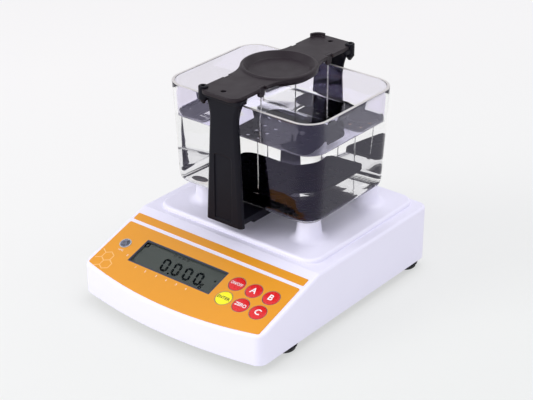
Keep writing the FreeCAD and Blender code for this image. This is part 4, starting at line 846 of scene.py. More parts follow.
WHITE_ABS = MouldedPlastic("white_abs", (0.84, 0.83, 0.94), 0.38, grain=0.5, depth=0.01)
GREY_ABS = MouldedPlastic("grey_abs", (0.42, 0.42, 0.44), 0.5, spread=0.03)
BLACK_ABS = MouldedPlastic(
    "black_abs", (0.0034, 0.0032, 0.0078), 0.42, grain=0.3, spread=0.15, specular=0.16, edge=0.8
)
BEAM_ABS = MouldedPlastic(
    "beam_abs", (0.014, 0.008, 0.0125), 0.46, grain=0.3, spread=0.1, specular=0.28, edge=1.5
)
PAN_ABS = MouldedPlastic(
    "pan_abs", (0.0009, 0.0007, 0.002), 0.5, grain=0.3, depth=0.01, spread=0.1, specular=0.0
)
DARK_CARRIER = MouldedPlastic("dark_carrier", (0.02, 0.02, 0.022), 0.5, spread=0.1)
ORANGE_FILM = PrintedFilm("orange_film", linear(226, 152, 32), 0.34)
RED_CAP = GlossCap("red_cap", linear(218, 22, 26), 0.3)
YELLOW_CAP = GlossCap("yellow_cap", (0.93, 0.88, 0.002), 0.34)
WHITE_INK = Ink("white_ink", (0.88, 0.88, 0.86), 0.5)
DARK_INK = Ink("dark_ink", (0.03, 0.035, 0.03), 0.5)
GREY_INK = Ink("grey_ink", linear(120, 118, 128), 0.5)
SEGMENT_INK = Ink("segment_ink", (0.002, 0.004, 0.007), 0.5, specular=0.02)
GHOST_INK = Ink("ghost_ink", linear(54, 60, 60), 0.4, specular=0.3)
BORDER_INK = Ink("border_ink", linear(62, 68, 84), 0.4)
LCD_FIELD = CrystalCell("lcd_field", linear(66, 75, 71), 0.35)
LIGHT_GUIDE = MouldedPlastic("light_guide", (0.8, 0.82, 0.78), 0.3)
CLEAR_PANE = ClearPlastic("clear_pane", (0.97, 0.98, 0.97), 0.02, ior=1.1, ripple=0.004)
# The tank's violet glint is a painted violet tint on what it reflects.
CLEAR_TANK = ClearPlastic(
    "clear_tank", (0.995, 0.99, 1.0), 0.008, TANK_IOR, ripple=0.012, glint=(0.68, 0.6, 1.0)
)
# The dry inner faces get a darker, lavender copy of the clear plastic: painted shade, with a
# painted lavender tint on their reflections.
SHADED_DRY_WALL = ClearPlastic(
    "dry_wall_painted_shade", (0.8, 0.76, 0.91), 0.01, TANK_IOR, ripple=0.012, glint=(0.5, 0.48, 0.8)
)
WETTED_WALL = ClearPlastic(
    "wetted_wall", (0.995, 0.99, 1.0), 0.004, TANK_IOR / WATER_IOR, ripple=0.012
)
RIM_FROST = FrostedRim("rim_frost", (0.66, 0.64, 0.61), 0.5)
CLEAR_VIAL = ClearPlastic("clear_vial", (0.68, 0.71, 0.84), 0.06, ripple=0.0005)
# The water's violet glint is a painted violet tint on what it reflects.
WATER = Liquid("water", (0.985, 0.985, 0.995), 0.0, glint=(0.6, 0.57, 0.95))
BUBBLE_AIR = ClearPlastic("bubble_air", (1.0, 1.0, 1.0), 0.0, ior=1.0 / VIAL_IOR, ripple=0.001)
HONEYCOMB_INK = Ink("honeycomb_ink", linear(242, 192, 120), 0.4)
WIRE_STEEL = Metal("wire_steel", (0.6, 0.6, 0.61), 0.26, grain=0.2, run=(1, 1, 30))
SCREW_STEEL = Metal("screw_steel", (0.55, 0.55, 0.56), 0.3, grain=0.3)
SHIELD_STEEL = Metal("shield_steel", (0.6, 0.6, 0.62), 0.32, grain=0.3, run=(20, 1, 1))
LEVEL_METAL = Metal("level_metal", (0.33, 0.35, 0.45), 0.45, grain=0.1)
CELL_METAL = Metal("cell_metal", (0.74, 0.75, 0.77), 0.34, grain=0.15, run=(1, 40, 1))
BRASS = Metal("brass", (0.66, 0.46, 0.18), 0.28, grain=0.2, run=(1, 1, 12))
GREEN_BOARD = CircuitBoard("green_board", (0.012, 0.09, 0.035), 0.35)
RIBBON = FlatCable("ribbon", (0.32, 0.32, 0.34), 0.45)
SHEATH = MouldedPlastic("sheath", (0.2, 0.2, 0.21), 0.5, spread=0.08)
FOOT_RUBBER = Rubber("foot_rubber_finish", (0.018, 0.018, 0.018), 0.75)


# ---------------------------------------------------------------- studio


@dataclass(frozen=True)
class Lamp:
    """A square soft lamp: its name, place and side in millimetres, and power in watts."""

    name: str
    place: Triple
    size: float
    power: float

    def hang(self, target: Vector) -> None:
        """Hang the lamp so that it isn't seen through glass.

        Args:
            target: What it points at, in metres.
        """
        data = bpy.data.lights.new(self.name, "AREA")
        data.shape = "SQUARE"
        data.size = self.size * MM
        data.energy = self.power
        lamp = bpy.data.objects.new(self.name, data)
        lamp.location = Vector(self.place) * MM
        lamp.rotation_euler = (target - lamp.location).to_track_quat("-Z", "Y").to_euler()
        lamp.visible_transmission = False
        bpy.context.scene.collection.objects.link(lamp)


@dataclass
class Studio:
    """Pale floor, soft light and the camera.

    Attributes:
        camera_at: Place of the camera in millimetres.
        heading: Turn of the view to the left of +Y, in radians.
        dip: How far the view points down, in radians.
        focal: Focal length in pixels.
        picture_width: Width in pixels of the picture that the focal length is for.
        sensor: Width of the camera's sensor in millimetres.
        target: What the lamps point at, in millimetres.
        lamps: The lamps.
        floor_half: Half of the floor's side in millimetres.
        floor_colour: Colour of the floor as it is lit.
        near_glow: What the floor adds near the viewer.
        far_glow: What it adds far away.
        glow_turn: Turn of that change from the view's own heading, in degrees.
        glow_share: How much of the seen floor is this glow.
        sky_light: Colour of the surrounding as a light.
        sky_strength: Its strength.
        sky_seen: Colour of the surrounding where the eye, a gloss or a glass looks.
    """

    camera_at: Triple = (661.0289, -806.2635, 607.5302)
    heading: float = 0.677954
    dip: float = 0.472086
    focal: float = 1485.693
    picture_width: float = 533.0
    sensor: float = 36.0
    target: Triple = (0.0, 0.0, 60.0)
    lamps: tuple[Lamp, ...] = (
        Lamp("key_softbox", (-900.0, -1300.0, 1000.0), 900.0, 13.0),
        Lamp("low_softbox", (900.0, -1500.0, 260.0), 700.0, 4.5),
        Lamp("top_softbox", (300.0, 500.0, 1500.0), 1100.0, 9.0),
    )
    floor_half: float = 4000.0
    floor_colour: Colour = (0.79, 0.80, 0.76)
    near_glow: Colour = (0.83, 0.855, 0.84)
    far_glow: Colour = (0.975, 0.96, 0.965)
    glow_turn: float = 25.0
    glow_share: float = 0.6
    sky_light: Colour = (0.9, 0.88, 1.0)
    sky_strength: float = 0.76
    sky_seen: Colour = (0.8, 0.8, 0.82)

    def build(self) -> None:
        """Set the view transform, and build camera, floor, lamps and sky."""
        bpy.context.scene.view_settings.view_transform = "Standard"
        self._camera()
        self._floor()
        self._sky()
        for lamp in self.lamps:
            lamp.hang(Vector(self.target) * MM)

    def _camera(self) -> None:
        """A camera that looks along (-sin h cos d, cos h cos d, -sin d)."""
        data = bpy.data.cameras.new("camera")
        data.sensor_width = self.sensor
        data.lens = self.focal / self.picture_width * self.sensor
        camera = bpy.data.objects.new("camera", data)
        camera.location = Vector(self.camera_at) * MM
        camera.rotation_euler = (math.pi / 2 - self.dip, 0.0, self.heading)
        bpy.context.scene.collection.objects.link(camera)
        bpy.context.scene.camera = camera

    def _floor(self) -> None:
        """A pale sheet under the feet."""
        half = self.floor_half * MM
        mesh = bpy.data.meshes.new("floor")
        corners = [(-half, -half, 0), (half, -half, 0), (half, half, 0), (-half, half, 0)]
        mesh.from_pydata(corners, [], [(0, 1, 2, 3)])
        floor = bpy.data.objects.new("floor", mesh)
        mesh.materials.append(self._paper())
        bpy.context.scene.collection.objects.link(floor)

    def _paper(self) -> bpy.types.Material:
        """Pale paper, seen a little brighter than lit, paler far away to the left.

        What the eye, a gloss or a glass sees is a mix of the lit paper, which
        keeps the shadow, and of a glow whose colour goes with the distance
        along the view and across it.

        Returns:
            The material.
        """
        recipe = Recipe("floor_paper")
        recipe.paint(self.floor_colour, 0.02, recipe.noise(900.0, 1.0))
        recipe.constant(Roughness=0.9, Specular_IOR_Level=0.1)
        split = recipe.node("ShaderNodeSeparateXYZ")
        turn = (0.0, 0.0, -math.degrees(self.heading) - self.glow_turn)
        recipe.join(recipe.place(turn=turn), split.inputs["Vector"])
        far = recipe.level(split.outputs["Y"], 0.0, 1.0, -0.35, 0.5)
        glow = recipe.node("ShaderNodeEmission")
        recipe.join(recipe.mix(far, self.near_glow, self.far_glow), glow.inputs["Color"])
        share = recipe.level(seen_by_eye(recipe.tree), 0.0, self.glow_share, 0.0, 1.0)
        blend = recipe.node("ShaderNodeMixShader")
        recipe.join(share, blend.inputs["Fac"])
        recipe.join(recipe.surface.outputs["BSDF"], blend.inputs[1])
        recipe.join(glow.outputs["Emission"], blend.inputs[2])
        recipe.join(blend.outputs["Shader"], recipe.output.inputs["Surface"])
        return recipe.material

    def _sky(self) -> None:
        """An even surrounding, a little cool as a light and nearly white where it is seen."""
        world = bpy.data.worlds.new("surrounding")
        world.use_nodes = True
        tree = world.node_tree
        light = tree.nodes["Background"]
        light.inputs["Color"].default_value = (*self.sky_light, 1.0)
        light.inputs["Strength"].default_value = self.sky_strength
        wall = tree.nodes.new("ShaderNodeBackground")
        wall.inputs["Color"].default_value = (*self.sky_seen, 1.0)
        blend = tree.nodes.new("ShaderNodeMixShader")
        tree.links.new(seen_by_eye(tree), blend.inputs["Fac"])
        tree.links.new(light.outputs["Background"], blend.inputs[1])
        tree.links.new(wall.outputs["Background"], blend.inputs[2])
        tree.links.new(blend.outputs["Shader"], tree.nodes["World Output"].inputs["Surface"])
        bpy.context.scene.world = world


# ---------------------------------------------------------------- tank and water


@dataclass
class Tank:
    """Clear moulded tank and the water in it.

    Attributes:
        width: Outer width at the rim.
        depth: Outer depth at the rim.
        height: Height of the walls.
        taper: How far the foot lies inside the rim, on each side.
        corner: Radius of the upright corners at the rim.
        edge: Outer radius between wall and floor.
        wall: Thickness.
        rim_ease: Radius of the rim's two edges.
        floor_z: Underside of the tank.
        centre_y: Its middle along Y.
        water_z: Height of the water.
        overlap: How far the water's face reaches into the wall.
        meniscus: How far the water climbs at the wall.
        meniscus_reach: Distance in which that climb falls to 1 / e of itself.
        least_corner: Radius below which an upright corner never goes.
        frosted: Share of the rim's edge radius that is frosted with the rim.
    """

    width: float = 148.0
    depth: float = 110.6
    height: float = 85.9
    taper: float = 4.5
    corner: float = 19.0
    edge: float = 7.0
    wall: float = 2.6
    rim_ease: float = 0.45
    floor_z: float = 79.5
    centre_y: float = 31.8
    water_z: float = 137.5
    overlap: float = 0.05
    meniscus: float = 1.3
    meniscus_reach: float = 1.7
    least_corner: float = 0.6
    frosted: float = 0.6

    def _lean(self, z: Points | float) -> Points | float:
        """How far the outer wall lies inside the rim's outline at a height."""
        return self.taper * (1.0 - z / self.height)

    def _loop(self, inset: float, z: float) -> Points:
        """The rim's outline drawn in by a distance, at a height above the floor.

        Args:
            inset: The distance.
            z: The height.

        Returns:
            An array of (x, y, z).
        """
        corner = max(self.corner - inset, self.least_corner)
        flat = rounded_loop(self.width / 2 - inset, self.depth / 2 - inset, corner, 14, 10)
        return raised(flat + (0.0, self.centre_y), z + self.floor_z)

    def _side(self, inset: float, radius: float, low: float, high: float) -> list[Pair]:
        """Insets and heights of a wall: a quarter circle at its foot, then a lean.

        The quarter circle is (c - r cos a, z0 + r + r sin a) for a from -90 to 0
        degrees. One of the heights is the water line.

        Args:
            inset: Distance from the outer wall's face.
            radius: Radius at the foot.
            low: Height of the foot.
            high: Height of the top.

        Returns:
            Pairs of inset and height, upwards.
        """
        bend = low + radius
        centre = float(self._lean(bend)) + inset + radius
        angles = np.radians(np.linspace(-90.0, 0.0, 11))
        foot = np.column_stack([centre - radius * np.cos(angles), bend + radius * np.sin(angles)])
        heights = np.sort(np.append(np.linspace(bend, high, 14)[1:], self._line()))
        straight = np.column_stack([self._lean(heights) + inset, heights])
        return [tuple(pair) for pair in np.vstack([foot, straight])]

    def _line(self) -> float:
        """Height of the water line on the wall, above the tank's underside."""
        return self.water_z - self.floor_z + self.meniscus

    def tank(self) -> Solid:
        """The tank as one closed skin: outside, flat rim with eased edges, inside.

        Returns:
            Points and faces.
        """
        ease = self.rim_ease
        shoulder = self.height - ease
        outside = self._side(0.0, self.edge, 0.0, shoulder)
        lean = float(self._lean(shoulder))
        outer = arc((lean + ease, shoulder), ease, 180.0, 90.0, 4)[1:]
        inner = arc((lean + self.wall - ease, shoulder), ease, 90.0, 0.0, 4)[:-1]
        rim = [tuple(point) for point in np.vstack([outer, inner])]
        inside = self._side(self.wall, self.edge - self.wall, self.wall, shoulder)
        return loft([self._loop(inset, z) for inset, z in [*outside, *rim, *inside[::-1]]])

    def water(self) -> Solid:
        """The water's face, which climbs at the walls; the wetted wall bounds the rest.

        At distance s from the wall it stands meniscus * exp(-s / reach) above
        the level.

        Returns:
            Points and faces.
        """
        level = self.water_z - self.floor_z
        base = float(self._lean(self._line())) + self.wall
        away = np.array([0.0, 0.35, 0.8, 1.4, 2.2, 3.3, 5.0, 8.0])
        climb = self.meniscus * np.exp(-away / self.meniscus_reach)
        edge = [(base - self.overlap, level + self.meniscus)]
        surface = [(base + s, level + h) for s, h in zip(away, climb)]
        return sheet([self._loop(inset, z) for inset, z in edge + surface])

    def _inward(self, middles: Points, normals: Points) -> Points:
        """Whether a face looks into the tank."""
        heart = np.array([0.0, self.centre_y, self.floor_z + self.height / 2])
        return ((middles - heart) * normals).sum(axis=1) < 0

    def _wetted(self, middles: Points, normals: Points) -> Points:
        """Whether a face looks into the tank and lies below the water line."""
        return self._inward(middles, normals) & (middles[:, 2] < self.floor_z + self._line())

    def _dry(self, middles: Points, normals: Points) -> Points:
        """Whether a face looks into the tank and lies between water line and rim."""
        return self._inward(middles, normals) & (middles[:, 2] > self.floor_z + self._line())

    def _rim(self, middles: Points, normals: Points) -> Points:
        """Whether a face belongs to the rim's flat top."""
        return middles[:, 2] > self.floor_z + self.height - self.rim_ease * self.frosted

    def build(self, shop: Workshop) -> None:
        """Build the tank, with its ground rim and wetted inside, and the water.

        Args:
            shop: Where pieces are made.
        """
        walls = shop.build(
            "clear_tank_walls", self.tank(), CLEAR_TANK, "tank", "tank_clear", ["water_tank"]
        )
        # The dry inner faces take the painted shade of the darker lavender copy.
        coats = {RIM_FROST: self._rim, WETTED_WALL: self._wetted, SHADED_DRY_WALL: self._dry}
        for finish, chosen in coats.items():
            shop.coat(walls, finish, chosen)
        shop.build("tank_water", self.water(), WATER, "tank", "tank_clear", closed=False)


# ---------------------------------------------------------------- panel


@dataclass(frozen=True)
class Slope:
    """The plane of the sloped key panel.

    Attributes:
        crease_y: Y of the crease where the slope starts.
        top_z: Height of the crease.
        angle: Slope in degrees.
    """

    crease_y: float = -33.55
    top_z: float = 55.4
    angle: float = 17.6

    def lay(self, solid: Solid, x: float = 0.0, run: float = 0.0) -> Solid:
        """Lay a solid drawn in the panel's own plane onto the panel.

        A point (a, b, c) goes to x + a along X, and from the crease by
        (b - run) up the slope and c out of it.

        Args:
            solid: Points across, up and out of the panel, and faces.
            x: Where it goes across.
            run: How far down the slope.

        Returns:
            The solid in place.
        """
        points, faces = solid
        turn = math.radians(self.angle)
        up, out = points[:, 1] - run, points[:, 2]
        placed = np.column_stack(
            [
                points[:, 0] + x,
                self.crease_y + up * math.cos(turn) - out * math.sin(turn),
                self.top_z + up * math.sin(turn) + out * math.cos(turn),
            ]
        )
        return placed, faces


SLOPE = Slope()
SKIN_TOP = 0.4
INK_SINK = 0.01
BOLD_COPIES = 8
ROUND_STEPS = 72


def lettering(
    text: str, height: float, low: float, thick: float = 0.04, width: float = 0.0, bold: float = 0.0
) -> Solid:
    """Plain letters as thin solids, centred on the origin.

    Bold letters are the plain ones, laid down several times round a small circle.

    Args:
        text: What they say.
        height: From their lowest to their highest point, in millimetres.
        low: Height of their underside.
        thick: Their thickness.
        width: From the first to the last, or 0 for the font's own.
        bold: How much wider than the font's own the strokes are, in millimetres.

    Returns:
        Points and faces in millimetres.
    """
    curve = bpy.data.curves.new(f"letters_{text}", "FONT")
    curve.body = text
    curve.extrude = thick / 2
    curve.resolution_u = 4
    thing = bpy.data.objects.new(curve.name, curve)
    bpy.context.scene.collection.objects.link(thing)
    bpy.context.view_layer.update()
    graph = bpy.context.evaluated_depsgraph_get()
    mesh = bpy.data.meshes.new_from_object(thing.evaluated_get(graph))
    points = np.empty(len(mesh.vertices) * 3)
    mesh.vertices.foreach_get("co", points)
    points = points.reshape(-1, 3)
    faces = [list(polygon.vertices) for polygon in mesh.polygons]
    bpy.data.objects.remove(thing)
    bpy.data.curves.remove(curve)
    bpy.data.meshes.remove(mesh)
    least, most = points.min(axis=0), points.max(axis=0)
    span = most - least
    rise = (height - bold) / span[1]
    scale = np.array([(width - bold) / span[0] if width else rise, rise, 1.0])
    placed = (points - (least + most) / 2) * scale + (0.0, 0.0, low + thick / 2)
    if not bold:
        return placed, faces
    around = np.radians(np.arange(0, 360, 360 // BOLD_COPIES))
    shifts = [(bold / 2 * math.cos(a), bold / 2 * math.sin(a)) for a in around]
    return together(moved((placed, faces), *shift) for shift in shifts)


class KeyColour(Enum):
    """The two colours of keys, by their slots in the record."""

    RED = "key_red"
    YELLOW = "key_yellow"


KEY_LOOKS = {KeyColour.RED: (RED_CAP, WHITE_INK), KeyColour.YELLOW: (YELLOW_CAP, DARK_INK)}


@dataclass(frozen=True)
class Key:
    """One round key and its label.

    Attributes:
        node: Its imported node.
        label: What it says.
        column: Its column, from the left.
        row: Its row, from the top.
        colour: Its colour.
        letter: Height of the letters.
        letters_wide: Width of the whole label, or 0 for the font's own.
        bold: How much wider than the font's own the strokes are.
    """

    node: str
    label: str
    column: int
    row: int
    colour: KeyColour = KeyColour.RED
    letter: float = 5.5
    letters_wide: float = 0.0
    bold: float = 0.35


@dataclass
class Keypad:
    """Six domed keys with printed labels.

    Attributes:
        first_x: X of the first column.
        first_run: Run down the slope of the first row.
        pitch: Distance between keys.
        radius: Radius of a key.
        dome: How far the middle stands above the rounded edge.
        edge_top: Height at which the rounded edge ends.
        edge_round: Radius of that edge.
        flange: Radius of the hidden flange.
        flange_top: Height of its top.
        flange_low: Height of its underside.
        stem: Radius of the stem.
        stem_low: Height of the stem's end.
        label_thick: Thickness of a label.
        ring: Radii and heights of the line printed round a key.
        keys: The keys.
    """

    first_x: float = 39.2
    first_run: float = 37.298
    pitch: float = 16.4
    radius: float = 6.6
    dome: float = 0.32
    edge_top: float = 0.62
    edge_round: float = 0.4
    flange: float = 7.3
    flange_top: float = -2.65
    flange_low: float = -3.65
    stem: float = 2.0
    stem_low: float = -4.85
    label_thick: float = 0.08
    ring: tuple[Pair, ...] = ((6.93, SKIN_TOP), (7.22, SKIN_TOP), (7.2, 0.43), (6.95, 0.43))
    keys: tuple[Key, ...] = (
        Key("key_on_off", "ON/OFF", 0, 0, letter=2.8, letters_wide=11.2, bold=0.12),
        Key("key_a", "A", 1, 0),
        Key("key_b", "B", 2, 0),
        Key("key_enter", "ENTER", 0, 1, KeyColour.YELLOW, 2.8, 11.3, 0.1),
        Key("key_zero", "ZERO", 1, 1, letter=3.3, letters_wide=10.4, bold=0.2),
        Key("key_c", "C", 2, 1),
    )

    def _crown(self, radius: Points | float) -> Points | float:
        """Height of the dome at a radius: edge + dome (1 - (r / R)^2)."""
        reach = self.radius - self.edge_round
        return self.edge_top + self.dome * (1.0 - (radius / reach) ** 2)

    def cap(self) -> Solid:
        """A key cap: stem, flange, upright wall, rounded edge and dome.

        Returns:
            Points and faces.
        """
        reach = self.radius - self.edge_round
        edge = arc((reach, self.edge_top - self.edge_round), self.edge_round, 0.0, 90.0, 6)
        rings = np.linspace(reach, 0.0, 9)[1:]
        crown = np.column_stack([rings, self._crown(rings)])
        profile = [
            (0.0, self.stem_low),
            (self.stem, self.stem_low),
            (self.stem, self.flange_low),
            (self.flange, self.flange_low),
            (self.flange, self.flange_top),
            (self.radius, self.flange_top),
            *map(tuple, edge),
            *map(tuple, crown),
        ]
        return turned(profile, ROUND_STEPS)

    def label(self, key: Key) -> Solid:
        """The key's printed label, following the dome.

        Args:
            key: The key.

        Returns:
            Points and faces.
        """
        points, faces = lettering(
            key.label, key.letter, 0.0, self.label_thick, key.letters_wide, key.bold
        )
        points[:, 2] += self._crown(np.hypot(points[:, 0], points[:, 1])) - INK_SINK
        return points, faces

    def build(self, shop: Workshop) -> None:
        """Build six caps, their labels and the printed rings around them.

        Args:
            shop: Where pieces are made.
        """
        cap, ring, rings = self.cap(), turned(self.ring, ROUND_STEPS), []
        for key in self.keys:
            at = (self.first_x + self.pitch * key.column, self.first_run + self.pitch * key.row)
            body, slot = f"{key.node}_cap", key.colour.value
            lacquer, ink = KEY_LOOKS[key.colour]
            shop.build(f"{key.node}_dome", SLOPE.lay(cap, *at), lacquer, body, slot, [key.node])
            shop.build(f"{key.node}_label", SLOPE.lay(self.label(key), *at), ink, body, slot)
            rings.append(SLOPE.lay(ring, *at))
        shop.build("key_rings", together(rings), GREY_INK, "root", "overlay_orange")


@dataclass
class Display:
    """Liquid crystal display: pane, printed border, digits and small marks.

    Attributes:
        left: X of the visible field's left edge.
        right: X of its right edge.
        high_run: Run of its upper edge.
        low_run: Run of its lower edge.
        lip: How far the pane reaches past the field, under the overlay.
        pane_thick: Thickness of the pane.
        chamfer: Chamfer round the pane's face.
        field_top: Height of the field.
        ink: Lower and upper height of the dark ink, over the field.
        faint_ink: The same of the faint ink.
        digit_left: X of the first digit.
        digit_pitch: Distance between digits.
        digit_width: Width of a digit.
        digit_height: Height of a digit.
        digit_run: Run down the slope of the digits' middle.
        digit_lean: Push of a digit's top to the right per unit of height.
        stroke: Width of a segment.
        gap: Distance between the tips of two segments.
        dot: Half of the point's width and height.
        dot_back: Distance from the point to the second digit.
        unit: Width, height and boldness of the unit.
        unit_at: Its place.
        ring: Inner and outer radius of the mark at the upper left.
        ring_at: Its place.
        pointer: Corners of the mark at the right.
        pointer_at: Its place.
        ghost_places: X and width of each faint mark.
        ghost_half: Half of their height.
        ghost_y: Their place up the slope.
        borders: Inner and outer margin, lower and upper height of each border.
    """

    left: float = -57.0
    right: float = 25.7
    high_run: float = 30.998
    low_run: float = 55.598
    lip: float = 2.7
    pane_thick: float = 1.12
    chamfer: float = 0.25
    field_top: float = -1.21
    ink: Pair = (0.015, 0.04)
    faint_ink: Pair = (0.006, 0.012)
    digit_left: float = -29.2
    digit_pitch: float = 11.3
    digit_width: float = 7.5
    digit_height: float = 12.9
    digit_run: float = 45.6
    digit_lean: float = -0.22
    stroke: float = 2.1
    gap: float = 0.16
    dot: Pair = (0.85, 0.8)
    dot_back: float = 0.9
    unit: Triple = (3.3, 5.6, 0.35)
    unit_at: Pair = (13.6, -51.0)
    ring: Pair = (1.3, 2.6)
    ring_at: Pair = (-55.0, -34.7)
    pointer: tuple[Pair, ...] = ((-1.3, 0.0), (1.0, -1.3), (1.0, 1.3))
    pointer_at: Pair = (20.6, -41.8)
    ghost_places: tuple[Pair, ...] = ((-26.2, 2.8), (-21.8, 2.4), (-17.6, 3.2), (-13.0, 2.6))
    ghost_half: float = 0.9
    ghost_y: float = -33.8
    borders: tuple[tuple[float, float, float, float], ...] = (
        (-0.04, 0.45, 0.02, SKIN_TOP + 0.03),
        (-0.9, -0.04, 0.01, 0.03),
    )

    def _segment(self, start: Pair, stop: Pair) -> Points:
        """A bar with pointed ends between two places, as six points.

        The points are both ends and, half a stroke in from each end, half a
        stroke to either side.

        Args:
            start: One end of the bar, before the gap is taken off.
            stop: The other end.

        Returns:
            An array of (x, y).
        """
        a, b = np.array(start, float), np.array(stop, float)
        along = (b - a) / np.linalg.norm(b - a)
        across = np.array([-along[1], along[0]])
        half = self.stroke / 2
        a, b = a + along * self.gap / 2, b - along * self.gap / 2
        one, other = (along - across) * half, (along + across) * half
        return np.array([a, a + one, b - other, b, b - one, a + other])

    def _digit(self, lit: str) -> list[Points]:
        """Outlines of a digit's lit segments, named a to f clockwise from the top.

        Args:
            lit: Names of the lit segments.

        Returns:
            One outline for each.
        """
        w, h = self.digit_width - self.stroke, self.digit_height - self.stroke
        nodes = {
            "a": ((0, h), (w, h)),
            "b": ((w, h), (w, h / 2)),
            "c": ((w, h / 2), (w, 0)),
            "d": ((0, 0), (w, 0)),
            "e": ((0, 0), (0, h / 2)),
            "f": ((0, h / 2), (0, h)),
        }
        return [self._segment(*nodes[name]) for name in lit]

    def _leaned(self, outline: Points, x: float) -> Points:
        """A digit's outline, pushed over by its lean and set at its place.

        Args:
            outline: Points (x, y).
            x: Where the digit goes.

        Returns:
            The outline in the panel's plane.
        """
        middle = (self.digit_height - self.stroke) / 2
        y = outline[:, 1] - middle
        return np.column_stack([outline[:, 0] + y * self.digit_lean + x, y - self.digit_run])

    def _printed(self, outlines: Iterable[Points], heights: Pair) -> Solid:
        """Outlines printed on the field, between two heights over it."""
        low, high = (self.field_top + height for height in heights)
        return together(prism(outline, low, high) for outline in outlines)

    def digits(self) -> Solid:
        """Four noughts with a point after the first, and the unit's small g.

        Returns:
            Points and faces.
        """
        flat: list[Points] = []
        for place in range(4):
            x = self.digit_left + place * self.digit_pitch
            flat += [self._leaned(o, x) for o in self._digit("abcdef")]
        foot = -self.digit_run - self.digit_height / 2
        at = (self.digit_left + self.digit_pitch - self.dot_back, foot)
        flat.append(rounded_loop(*self.dot, 0.2, 3, 0) + at)
        width, height, bold = self.unit
        low, high = self.ink
        letter = lettering("g", height, self.field_top + low, high - low, width, bold)
        return together([self._printed(flat, self.ink), moved(letter, *self.unit_at)])

    def marks(self) -> Solid:
        """The ring at the upper left and the pointer at the right.

        Returns:
            Points and faces.
        """
        low, high = (self.field_top + height for height in self.ink)
        inner, outer = self.ring
        ring = turned([(inner, low), (outer, low), (outer, high), (inner, high)], 32)
        pointer = prism(np.array(self.pointer), low, high)
        return together([moved(ring, *self.ring_at), moved(pointer, *self.pointer_at)])

    def ghosts(self) -> Solid:
        """A row of unlit marks that show faintly above the digits.

        Returns:
            Points and faces.
        """
        half, y = self.ghost_half, self.ghost_y
        row = [rounded_loop(wide / 2, half, 0.3, 3, 0) + (x, y) for x, wide in self.ghost_places]
        return self._printed(row, self.faint_ink)

    def _outline(self, margin: float, corner: float, steps: int) -> Points:
        """The visible field's outline, pushed out by a margin.

        Args:
            margin: How far out.
            corner: Radius of its corners.
            steps: Divisions of a corner.

        Returns:
            An array of (x, y) in the panel's plane.
        """
        centre = ((self.left + self.right) / 2, -(self.high_run + self.low_run) / 2)
        half_x, half_y = (self.right - self.left) / 2, (self.low_run - self.high_run) / 2
        return rounded_loop(half_x + margin, half_y + margin, corner, steps, 4) + centre

    def _frame(self, inner: float, outer: float, low: float, high: float) -> Solid:
        """A flat frame about the visible field, between two margins and two heights."""
        rows = ((inner, low), (outer, low), (outer, high), (inner, high), (inner, low))
        return skin([raised(self._outline(margin, 0.3, 3), z) for margin, z in rows])

    def pane(self) -> Solid:
        """The clear pane, with a small chamfer all round its face."""
        rows = ((0.0, -self.pane_thick), (0.0, -self.chamfer), (self.chamfer, 0.0))
        return loft([raised(self._outline(self.lip - inset, 0.8, 5), z) for inset, z in rows])

    def build(self, shop: Workshop) -> None:
        """Build the pane, its borders, and all that the field shows.

        Args:
            shop: Where pieces are made.
        """
        borders = together(self._frame(*border) for border in self.borders)
        for name, solid, finish, slot, replaces in (
            ("display_pane", self.pane(), CLEAR_PANE, "window_clear", ["lcd_window"]),
            ("display_digits", self.digits(), SEGMENT_INK, "lcd_grey", []),
            ("display_marks", self.marks(), SEGMENT_INK, "lcd_grey", []),
            ("display_ghosts", self.ghosts(), GHOST_INK, "lcd_grey", []),
            ("display_border", borders, BORDER_INK, "overlay_orange", []),
        ):
            shop.build(name, SLOPE.lay(solid), finish, "root", slot, replaces)


@dataclass
class Captions:
    """The small captions printed about the display: plain numbers, and the level's name.

    Attributes:
        texts: What each says, its X, its run down the slope and its height.
    """

    texts: tuple[tuple[str, float, float, float], ...] = (
        ("1", -46.0, 59.2, 1.9),
        ("2", -35.6, 59.2, 1.9),
        ("3", -24.4, 59.2, 1.9),
        ("4", -14.2, 59.2, 1.9),
        ("5", -3.8, 59.2, 1.9),
        ("6", 6.4, 59.2, 1.9),
        ("LEVEL", -70.2, 49.3, 1.4),
        ("0", -61.2, 51.7, 1.9),
    )

    def build(self, shop: Workshop) -> None:
        """Print the captions as one piece.

        Args:
            shop: Where pieces are made.
        """
        printed = [
            SLOPE.lay(lettering(text, height, SKIN_TOP - INK_SINK), x, run)
            for text, x, run, height in self.texts
        ]
        shop.build("panel_captions", together(printed), WHITE_INK, "root", "overlay_orange")


